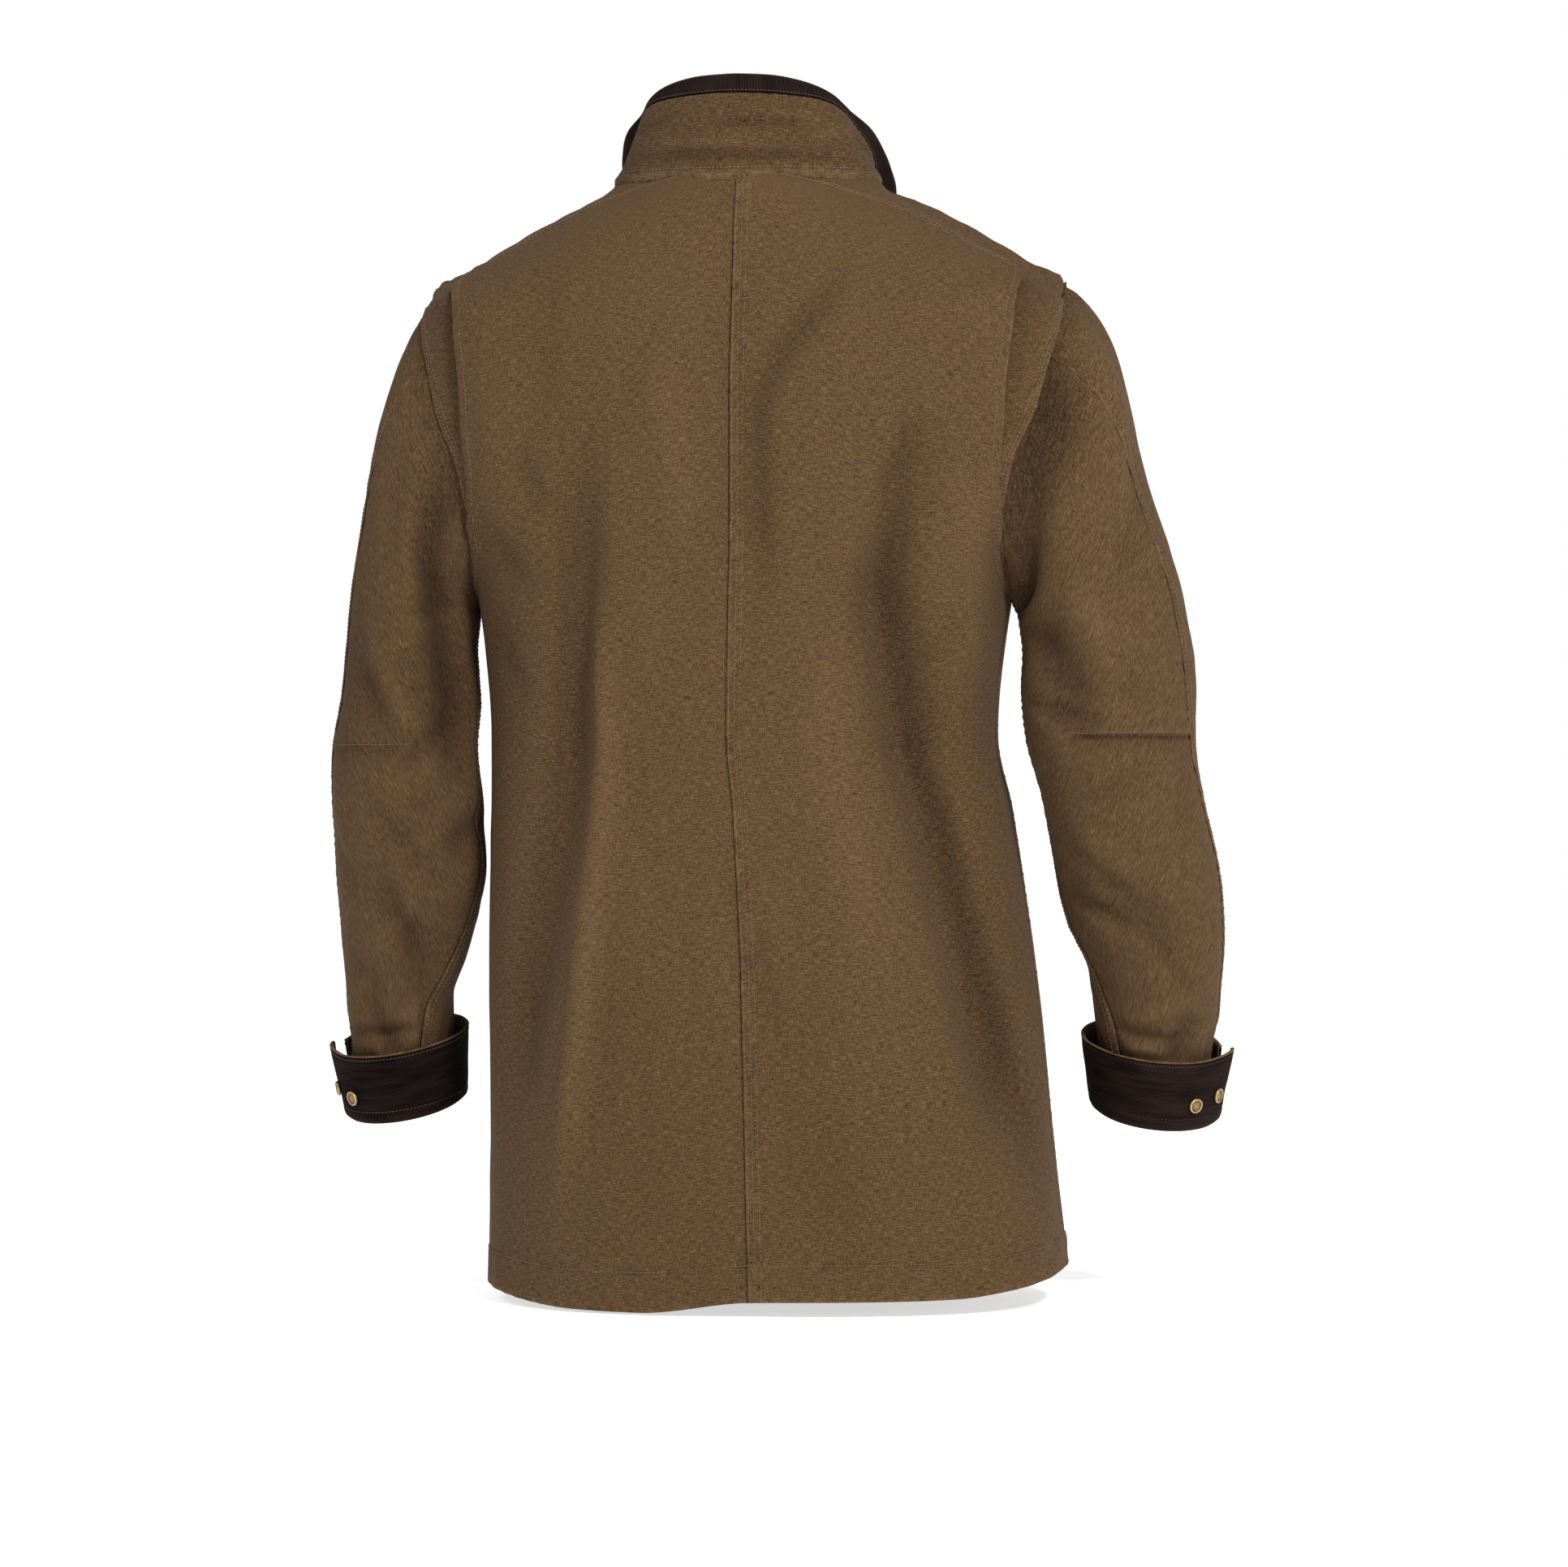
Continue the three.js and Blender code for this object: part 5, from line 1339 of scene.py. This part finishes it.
# %% Make the cuffs
CUFF_PAINTED_SHADE = {1: 0.45, -1: 0.0}       # painted shade: how much darker the left cuff is than the right
wale_heights = np.linspace(3, CUFF_HEIGHT, int(CUFF_HEIGHT / WALE_PITCH * (5)))
lip = [(-2.1, -1.6, 1.0), (-2.2, -2.0, 0.5), (-2.1, -2.2, 0.0), (-1.2, -0.9, 0.0), (0.4, 1.0, 0.0)]
lip_near = [(-0.9, -1.6, 1.0), (-1.0, -2.3, 0.5), (-0.9, -2.5, 0.0), (0.0, -1.5, 0.0), (1.2, 0.2, 0.0)]
BACKING_HEIGHTS = [8, 20, 30, 40, 48]
cuff_turns = np.concatenate([
    [CUFF_FREE, CUFF_FREE + 0.4], evenly(CUFF_FREE + 2, CUFF_UNDER - 2, 130),
    [CUFF_UNDER - 0.4, CUFF_UNDER],
])

# %% Grids of the cuffs
def cuff_grid(sign, rows, lift):
    """Points for rows of (height, out, held), each pushed out by its own lift."""
    turn = cuff_turns[:, None] + np.zeros(len(rows))[None, :]
    height, out, held = (np.array([row[k] for row in rows])[None, :] + 0 * turn for k in range(3))
    rolled = cuff_wrinkle(turn, height, sign) * (1 - held)
    return turn, height, cuff_point(sign, turn, height, out + lift * (1 - held) + rolled, held)


def backing_rows(out, top_rows):
    """Rows up the canvas behind a cuff's corduroy, and over its top."""
    rows = [(height, out) for height in BACKING_HEIGHTS] + [(CUFF_HEIGHT + up, far) for up, far in top_rows]
    return [(*row, 0.0) for row in rows]


for side, sign in SIDES.items():
    skin_rows = lip + [(h, CORDUROY, 0.0) for h in wale_heights]
    near_rows = lip_near + [(h, CORDUROY - CLOTH, 0.0) for h in wale_heights]
    heights = np.array([row[0] for row in skin_rows])[None, :]
    wobble = 0.05 * waves(cuff_turns[:, None], heights, 25, 60, 99)
    wale = np.abs(np.sin(np.pi * (heights / WALE_PITCH + wobble))) ** 0.8
    top_seam = smooth(CUFF_HEIGHT - 3.4, CUFF_HEIGHT - 2.4, heights)
    low_row = near_line(heights - CUFF_ROWS[0], 1.0)
    lift = WALE_HEIGHT * (wale - 1) * (1 - 0.4 * top_seam) - 0.35 * low_row
    turn, height, skin = cuff_grid(sign, skin_rows, lift)
    near = cuff_grid(sign, near_rows, 0 * lift)[2]
    around = lengths_along(skin, 0)
    wear_and_painted_shade = 0.45 * waves(around, height, 24, 2.8, 105 + sign) + 0.2 * waves(around, height, 16, 9, 101 + sign)
    # the last term paints shade over the whole left cuff, making it darker than the right
    wear_and_painted_shade += (0.2 * near_line(height, 4) - 0.2 * low_row
             + 0.2 * near_line(turn - CUFF_FREE, 3) - CUFF_PAINTED_SHADE[sign])
    name = f"cuff_facing_{side}"
    cuff = shell(name, skin, near, wear_and_painted_shade, PILE, np.stack([around, height], axis=-1),
                 {"rib": (wale + 0 * around, 0.3 + 0 * around)})
    panels[name] = {"outer": skin, "up": heights}
    far_rows = backing_rows(-0.3, [(-0.6, -0.3), (0.2, -0.1), (0.3, CORDUROY / 2), (0.3, CORDUROY + 0.1)])
    near_rows = backing_rows(-1.5, [(0.6, -1.5), (1.7, -0.9), (2.0, CORDUROY / 2), (1.6, CORDUROY + 0.3)])
    turn, height, far_skin = cuff_grid(sign, far_rows, 0.0)
    near_skin = cuff_grid(sign, near_rows, 0.0)[2]
    around = lengths_along(near_skin, 0)
    backing = shell(f"cuff_canvas_{side}", near_skin, far_skin, edge_wear(CUFF_HEIGHT - height, around, 103),
                    CANVAS_CLOTH, np.stack([around, height], axis=-1))

# %% [markdown]
# ## Snaps
# A snap's cap is pressed from sheet brass: a rolled rim round a shallow dish. The prong that holds
# it bites through the cloth. The caps stay closed in this pose.

# %% Snap caps
SNAP_DIAMETER = 12
SNAP_HEIGHT = 2.4
CAP_SIDES = 40
SNAP_SEAT = 0.45             # room under a cap, as the cloth curves away below it
CUFF_SNAPS = {"turn": [50, 22], "height": [19, 23]}
FRONT_SNAPS = 6
FIRST_SNAP_UP, LAST_SNAP_UP = 90, 790
CAP_SECTION = {
    "radius": [0.0, 2.0, 5.6, 5.95, 6.0, 5.9, 5.6, 5.2, 4.8, 4.5, 4.2, 3.6, 2.6, 1.4, 0.5, 0.0],
    "height": [0.0, 0.0, 0.1, 0.4, 1.3, 1.9, 2.25, 2.35, 2.2, 1.9, 1.72, 1.7, 1.78, 1.86, 1.9, 1.9],
    "pale":   [-1, -1, -0.4, 0.0, 0.2, 0.5, 0.6, 0.6, 0.4, -0.5, -0.6, -0.3, -0.1, 0.0, 0.0, 0.0],
}
print("points of a cap's section:", len(CAP_SECTION["radius"]))

# %% Press a cap
def snap_cap(name, place, normal):
    """A pressed cap at a place, facing along a normal, both in millimetres."""
    count = CAP_SIDES
    radius, height = np.array(CAP_SECTION["radius"]), np.array(CAP_SECTION["height"])
    radius = radius / radius.max() * SNAP_DIAMETER / 2
    height = height / height.max() * SNAP_HEIGHT
    turn = np.linspace(0, 2 * np.pi, count, endpoint=False)
    side_way = unit(np.cross(normal, [0.0, 0.0, 1.0]))
    up_way = np.cross(normal, side_way)
    rings = (place + (height + SNAP_SEAT)[:, None, None] * normal
             + (radius[:, None] * np.cos(turn))[..., None] * side_way
             + (radius[:, None] * np.sin(turn))[..., None] * up_way)
    inner = rings[1:-1]
    n = len(inner)
    points = np.concatenate([inner.reshape(-1, 3), rings[0, :1], rings[-1, :1]])
    i, j = np.meshgrid(np.arange(n - 1), np.arange(count), indexing="ij")
    k = (j + 1) % count
    quads = np.stack([i * count + j, i * count + k, (i + 1) * count + k, (i + 1) * count + j], axis=-1)
    a, b = np.arange(count), (np.arange(count) + 1) % count
    low, high = n * count, n * count + 1
    mesh = bpy.data.meshes.new(name)
    faces = quads.reshape(-1, 4).tolist()
    faces += np.stack([b, a, 0 * a + low], axis=1).tolist()
    faces += np.stack([(n - 1) * count + a, (n - 1) * count + b, 0 * a + high], axis=1).tolist()
    mesh.from_pydata((points * MM).tolist(), [], faces)
    pale = np.repeat(np.array(CAP_SECTION["pale"])[1:-1], count).tolist() + [-1.0, 0.0]
    add_values(mesh, {"wear_and_painted_shade": pale}, BRASS)
    finished(name, mesh, [name])


def cuff_face(sign):
    return lambda turn, height: cuff_point(sign, np.array(turn), np.array(height), CORDUROY)


for side, sign in SIDES.items():
    for index, row in enumerate(rows_of(CUFF_SNAPS)):
        turn, height = float(row["turn"]), float(row["height"])
        normal = normal_of(cuff_face(sign), turn, height, sign, 1, 1)
        roll = float(cuff_wrinkle(np.array(turn), np.array(height), sign))
        snap_cap(f"snap_cuff_{side}_{index + 1}", cuff_face(sign)(turn, height) + normal * roll, normal)
for index, up in enumerate(np.linspace(FIRST_SNAP_UP, LAST_SNAP_UP, FRONT_SNAPS)):
    snap_cap(f"snap_front_{index + 1}", body_point(180.0, up), body_normal(180.0, up))
print("snap caps:", 4 + FRONT_SNAPS)

# %% [markdown]
# ## Stitches
# Stitching holds the coat together and draws its lines. Each row is a path on the cloth, and one
# small node tree lays thread along all of them: it marks the path every few millimetres and puts a
# short swelling of thread on each mark. One tree serves every seam, with its sizes as inputs.

# %% A tree that sews
def thread_tree():
    """Lays stitches along curves. Inputs: distance between stitches, their length and width."""
    tree = bpy.data.node_groups.new("Sewn rows", "GeometryNodeTree")
    face = tree.interface
    face.new_socket("Paths", in_out="INPUT", socket_type="NodeSocketGeometry")
    sizes = {}
    for label, value in (("Stitch spacing", 0.0034), ("Stitch length", 0.0029), ("Thread width", 0.0007)):
        socket = face.new_socket(label, in_out="INPUT", socket_type="NodeSocketFloat")
        socket.default_value = value
        sizes[label] = socket.identifier
    thread = face.new_socket("Thread", in_out="INPUT", socket_type="NodeSocketMaterial")
    sizes["Thread"] = thread.identifier
    face.new_socket("Stitches", in_out="OUTPUT", socket_type="NodeSocketGeometry")
    recipe = Recipe(tree)
    entry = recipe.node("NodeGroupInput")
    paths, spacing, length, width, material = (Wire(recipe, entry.outputs[k]) for k in range(5))
    marks = recipe.node("GeometryNodeResampleCurve", {"mode": "LENGTH"}, {"Curve": paths, "Length": spacing})
    along = recipe.wire("GeometryNodeInputTangent")
    turn = recipe.wire("FunctionNodeAlignEulerToVector", 0, {"axis": "X"}, {"Vector": along})
    bead = recipe.wire("GeometryNodeMeshUVSphere", 0, {}, {"Segments": 6, "Rings": 4, "Radius": 0.5})
    bead = recipe.wire("GeometryNodeSetShadeSmooth", 0, {}, {0: bead})
    size = recipe.wire("ShaderNodeCombineXYZ", 0, {}, {0: length, 1: width, 2: width})
    spread_out = recipe.wire("GeometryNodeInstanceOnPoints", 0, {}, {
        "Points": Wire(recipe, marks.outputs[0]), "Instance": bead, "Rotation": turn, "Scale": size})
    real = recipe.wire("GeometryNodeRealizeInstances", 0, {}, {0: spread_out})
    done = recipe.wire("GeometryNodeSetMaterial", 0, {}, {"Geometry": real, "Material": material})
    exit_node = recipe.node("NodeGroupOutput")
    tree.links.new(done.socket, exit_node.inputs[0])
    return tree, sizes


SEWING, SEWING_INPUTS = thread_tree()
print("nodes that sew:", len(SEWING.nodes))

# %% Sew rows of points
def sew(name, rows, thread, spacing=3.4, width=0.62, slot_name="canvas"):
    """Stitches along rows of points in millimetres, as one plain mesh."""
    curve = bpy.data.curves.new(name + "_paths", "CURVE")
    curve.dimensions = "3D"
    for row in rows:
        row = np.asarray(row)
        steps = np.concatenate([[True], np.linalg.norm(np.diff(row, axis=0), axis=1) > 0.05])
        row = row[steps]
        if len(row) < 2:
            continue
        spline = curve.splines.new("POLY")
        spline.points.add(len(row) - 1)
        flat = np.concatenate([row * MM, np.ones((len(row), 1))], axis=1)
        spline.points.foreach_set("co", flat.ravel())
    holder = bpy.data.objects.new(name + "_holder", curve)
    bpy.context.scene.collection.objects.link(holder)
    modifier = holder.modifiers.new("Sewing", "NODES")
    modifier.node_group = SEWING
    modifier[SEWING_INPUTS["Stitch spacing"]] = spacing * MM
    modifier[SEWING_INPUTS["Stitch length"]] = (spacing - 0.5) * MM
    modifier[SEWING_INPUTS["Thread width"]] = width * MM
    modifier[SEWING_INPUTS["Thread"]] = thread
    graph = bpy.context.evaluated_depsgraph_get()
    mesh = bpy.data.meshes.new_from_object(holder.evaluated_get(graph))
    mesh.name = name
    bpy.data.objects.remove(holder)
    finished(name, mesh)
    print(f"{name}: {len(rows)} rows, {sum(len(p.vertices) - 2 for p in mesh.polygons)} triangles")

# %% Rows that follow an edge
THREAD_LIFT = 0.16           # how far a stitch's middle lies off the cloth
PILE_SEWING = (3.0, 0.6, "corduroy")     # spacing, width and finish of the rows on corduroy
COLLAR_EDGE_ROW = 1.6        # from the corduroy's lower edge on the collar to its stitches
DART_ROW_UP = 0.045          # how far above its fold a dart is stitched, in rows of the sleeve


def off_cloth(points):
    """Lifts a row a little off its cloth. Points come as outer skin and normal together."""
    return points[:, :3] + unit(points[:, 3:]) * THREAD_LIFT


def skin_of(name):
    panel = panels[name]
    if "skin" not in panel:
        outer = panel["outer"]
        normal = unit(np.cross(np.gradient(outer, axis=0), np.gradient(outer, axis=1)))
        if "normal" in panel and np.sum(normal * panel["normal"]) < 0:
            normal = -normal
        panel["skin"] = np.concatenate([outer, normal], axis=-1)
    return panel["skin"]


def row_beside(name, edge, distance, low=-1e9, high=1e9):
    """A row at a distance from a panel's first or last column, between two heights."""
    panel = panels[name]
    skin, lengths = skin_of(name), panel["from_" + edge]
    found = []
    for ring in range(skin.shape[1]):
        if not low <= panel["up"][0, ring] <= high:
            continue
        order = np.argsort(lengths[:, ring])
        if lengths[order[-1], ring] < distance:
            continue
        found.append([np.interp(distance, lengths[order, ring], skin[order, ring, k]) for k in range(6)])
    return off_cloth(np.array(found))


def row_across(name, height, key="up", first=None, last=None):
    """A row at a height, right across a panel."""
    panel = panels[name]
    skin = skin_of(name)
    heights = panel[key] + np.zeros(skin.shape[:2])
    found = [[np.interp(height, heights[i], skin[i, :, k]) for k in range(6)] for i in range(skin.shape[0])]
    return off_cloth(np.array(found)[first:last])

# %% Rows on the body
body_rows = []
for side in SIDES:
    back, strip, front = f"back_{side}", f"back_pleat_{side}", f"front_{side}"
    for distance in ARM_ROWS:
        body_rows.append(row_beside(back, "end", distance, ARMPIT_UP + 2, PLEAT_UP))
        body_rows.append(row_beside(strip, "end", distance, PLEAT_UP, TIP_UP - 1))
        body_rows.append(row_beside(front, "start", distance, ARMPIT_UP + 2, TIP_UP - 1))
    for distance in SHOULDER_ROWS:
        body_rows.append(row_beside(back, "end", distance, TIP_UP + 3, NECK_UP - 2))
        body_rows.append(row_beside(back, "end", distance, 3, ARMPIT_UP - 2))
    body_rows.append(row_beside(back, "end", PLEAT_ROW, PLEAT_UP + 4, TIP_UP - 2))
    body_rows += [row_across(back, HEM_DEPTH), row_across(front, HEM_DEPTH)]
body_rows += [row_beside("back_right", "start", distance, 1, NECK_UP - 1) for distance in CB_ROWS]
body_rows += [row_beside("front_left", "end", distance, 3, NECK_UP - 3) for distance in FRONT_ROWS]
sew("body_stitches", body_rows, TAN_THREAD)

# %% Rows on the sleeves, the collar and the cuffs
sleeve_rows = []
for side, sign in SIDES.items():
    for distance in SLEEVE_ROWS:
        sleeve_rows += [row_beside(f"sleeve_top_{side}", edge, distance, 6) for edge in ("end", "start")]
    under = panels[f"sleeve_under_{side}"]
    ring = int(np.argmin(np.abs(under["along"][0] - DART[sign])))
    reach = int(np.searchsorted(under["from_start"][:, ring], DART_LENGTH[sign]))
    sleeve_rows.append(row_across(f"sleeve_under_{side}", DART[sign] - DART_ROW_UP, "along", 3, reach))
sew("sleeve_stitches", sleeve_rows, TAN_THREAD)

collar_rows = [row_across("collar_outer", distance, "up", 2, -2) for distance in COLLAR_ROWS]
sew("collar_stitches", collar_rows, TAN_THREAD)
angle = collar_turns[2:-2]
row_up = leaf_length(angle) - band_width(angle) + COLLAR_EDGE_ROW
leaf_top = leaf_offset(angle, row_up, CORDUROY + 0.1 + 0 * angle)
sew("collar_edge_stitches", [leaf_top], DARK_THREAD, *PILE_SEWING)
cuff_rows = [row_across(f"cuff_facing_{side}", height) for side in SIDES for height in CUFF_ROWS]
sew("cuff_stitches", cuff_rows, DARK_THREAD, *PILE_SEWING)

# %% [markdown]
# ## Rows that cross the panels
# Inside the neck a facing is sewn to the back, and its stitches come through as one curved line.
# Its path is given as seen from behind, and dropped straight onto the cloth.

# %% The neck facing's row
NECK_FACING = {
    "x": [84, 79, 75, 61, 55, 14, 7, -6, -44, -48, -52, -64, -72],
    "z": [-46, -63, -77, -94, -97, -99.5, -100, -100, -97.5, -93, -80, -50, -37],
}


def dropped(xs, zs, names):
    """A path given from behind, dropped onto panels from the back."""
    points, faces, total = [], [], 0
    for name in names:
        outer = panels[name]["outer"]
        points.append(outer.reshape(-1, 3))
        faces.append(grid_quads(*outer.shape[:2]) + total)
        total += len(points[-1])
    tree = BVHTree.FromPolygons(np.concatenate(points).tolist(), np.concatenate(faces).tolist())
    steps = np.concatenate([[0], np.cumsum(np.hypot(np.diff(xs), np.diff(zs)))])
    wanted = np.arange(0, steps[-1], 3.0)
    found = []
    for x, z in zip(np.interp(wanted, steps, xs), np.interp(wanted, steps, zs)):
        spot = tree.ray_cast(Vector((x, 400, z)), Vector((0, -1, 0)))[0]
        if spot is not None:
            found.append(np.array(spot) + [0, THREAD_LIFT, 0])
    return np.array(found)


neck_row = dropped(NECK_FACING["x"], NECK_FACING["z"], ["back_left", "back_right"])
sew("neck_facing_stitches", [neck_row], TAN_THREAD)

# %% [markdown]
# ## Floor, light and camera
# The coat is lit softly, as in a studio: a pale room, a broad lamp high at the right of the view
# and a weaker one at its left. The camera stands level with the coat's middle, four metres behind
# it and a little to the coat's right.

# %% Floor and light
FLOOR_WHITE = (0.97, 0.97, 0.97, 1)
FLOOR_SHADE = (0.9409, 0.9409, 0.9409, 1)
FLOOR_GLOW = 0.62            # light of its own that keeps the floor as pale as the room
SKY_DIM = 0.26               # brightness of the room overhead, where 1 is the white at eye level
FLOOR_LEVEL = float(cad_box[0][2]) - 0.002
FLOOR_HALF = 14.0

pale_floor, recipe, shader = new_material("pale_floor", {
    "Roughness": 0.9, "Emission Color": (1, 1, 1, 1), "Emission Strength": FLOOR_GLOW})
cloud = recipe.noise(recipe.wire("ShaderNodeTexCoord", 3), 3.0)
feed(recipe, shader, base_color=recipe.mix(cloud, FLOOR_WHITE, FLOOR_SHADE))
floor_mesh = bpy.data.meshes.new("floor")
corners = [(x * FLOOR_HALF, y * FLOOR_HALF, FLOOR_LEVEL) for x, y in ((-1, -1), (1, -1), (1, 1), (-1, 1))]
floor_mesh.from_pydata(corners, [], [(0, 1, 2, 3)])
floor_mesh.materials.append(pale_floor)
floor = bpy.data.objects.new("floor", floor_mesh)
bpy.context.scene.collection.objects.link(floor)
floor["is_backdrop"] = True

world = bpy.data.worlds.new("pale_room")
bpy.context.scene.world = world
world.use_nodes = True
sky = Recipe(world.node_tree)
rise = sky.wire("ShaderNodeSeparateXYZ", 2, {}, {0: sky.wire("ShaderNodeTexCoord", 0)})
near_horizon = sky.limit(1.45 - sky.math("ABSOLUTE", rise) * 2.6)
world_colour = sky.mix(near_horizon, (SKY_DIM, SKY_DIM, SKY_DIM, 1), (1, 1, 1, 1))
world.node_tree.links.new(world_colour.socket, world.node_tree.nodes["Background"].inputs["Color"])


def lamp(name, place, aim, size, power):
    """A soft square lamp at a place, aimed at another."""
    light = bpy.data.lights.new(name, "AREA")
    light.shape = "SQUARE"
    light.size = size
    light.energy = power
    holder = bpy.data.objects.new(name, light)
    holder.location = place
    holder.rotation_mode = "QUATERNION"
    holder.rotation_quaternion = (Vector(aim) - Vector(place)).to_track_quat("-Z", "Y")
    bpy.context.scene.collection.objects.link(holder)
    holder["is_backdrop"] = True


lamp("high_lamp", (-1.9, 2.9, 2.0), (0, 0, -0.4), 0.9, 235)
lamp("left_lamp", (2.3, 1.9, 2.2), (0, 0, -0.4), 1.2, 38)

print("lamps:", len(bpy.data.lights))

# %% Camera
CAMERA_YAW = 8.0             # degrees that the camera stands to the coat's right
CAMERA_AWAY = 4.0            # metres from the body's axis
CAMERA_LEVEL = -0.475
CAMERA_LENS = 115.5          # millimetres
SENSOR_WIDTH = 36            # millimetres
CAMERA_ASIDE = 0.0297        # metres that it looks past the axis, to the coat's right
yaw = math.radians(CAMERA_YAW)
look = Vector((math.sin(yaw), -math.cos(yaw), 0))
right = Vector((-math.cos(yaw), -math.sin(yaw), 0))
target = right * CAMERA_ASIDE + Vector((0, 0, CAMERA_LEVEL))
camera_data = bpy.data.cameras.new("camera")
camera_data.lens = CAMERA_LENS
camera_data.sensor_width = SENSOR_WIDTH
camera = bpy.data.objects.new("camera", camera_data)
camera.location = target - look * CAMERA_AWAY
camera.rotation_mode = "QUATERNION"
camera.rotation_quaternion = look.to_track_quat("-Z", "Y")
bpy.context.scene.collection.objects.link(camera)
bpy.context.scene.camera = camera
print("camera stands at, m:", [round(value, 2) for value in camera.location])
bpy.context.scene.view_settings.view_transform = "Standard"

# %% Measure and finish
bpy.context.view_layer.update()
shown = [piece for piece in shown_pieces() if piece.type == "MESH"]
total = sum(len(face.vertices) - 2 for piece in shown for face in piece.data.polygons)
print("triangles shown:", total)
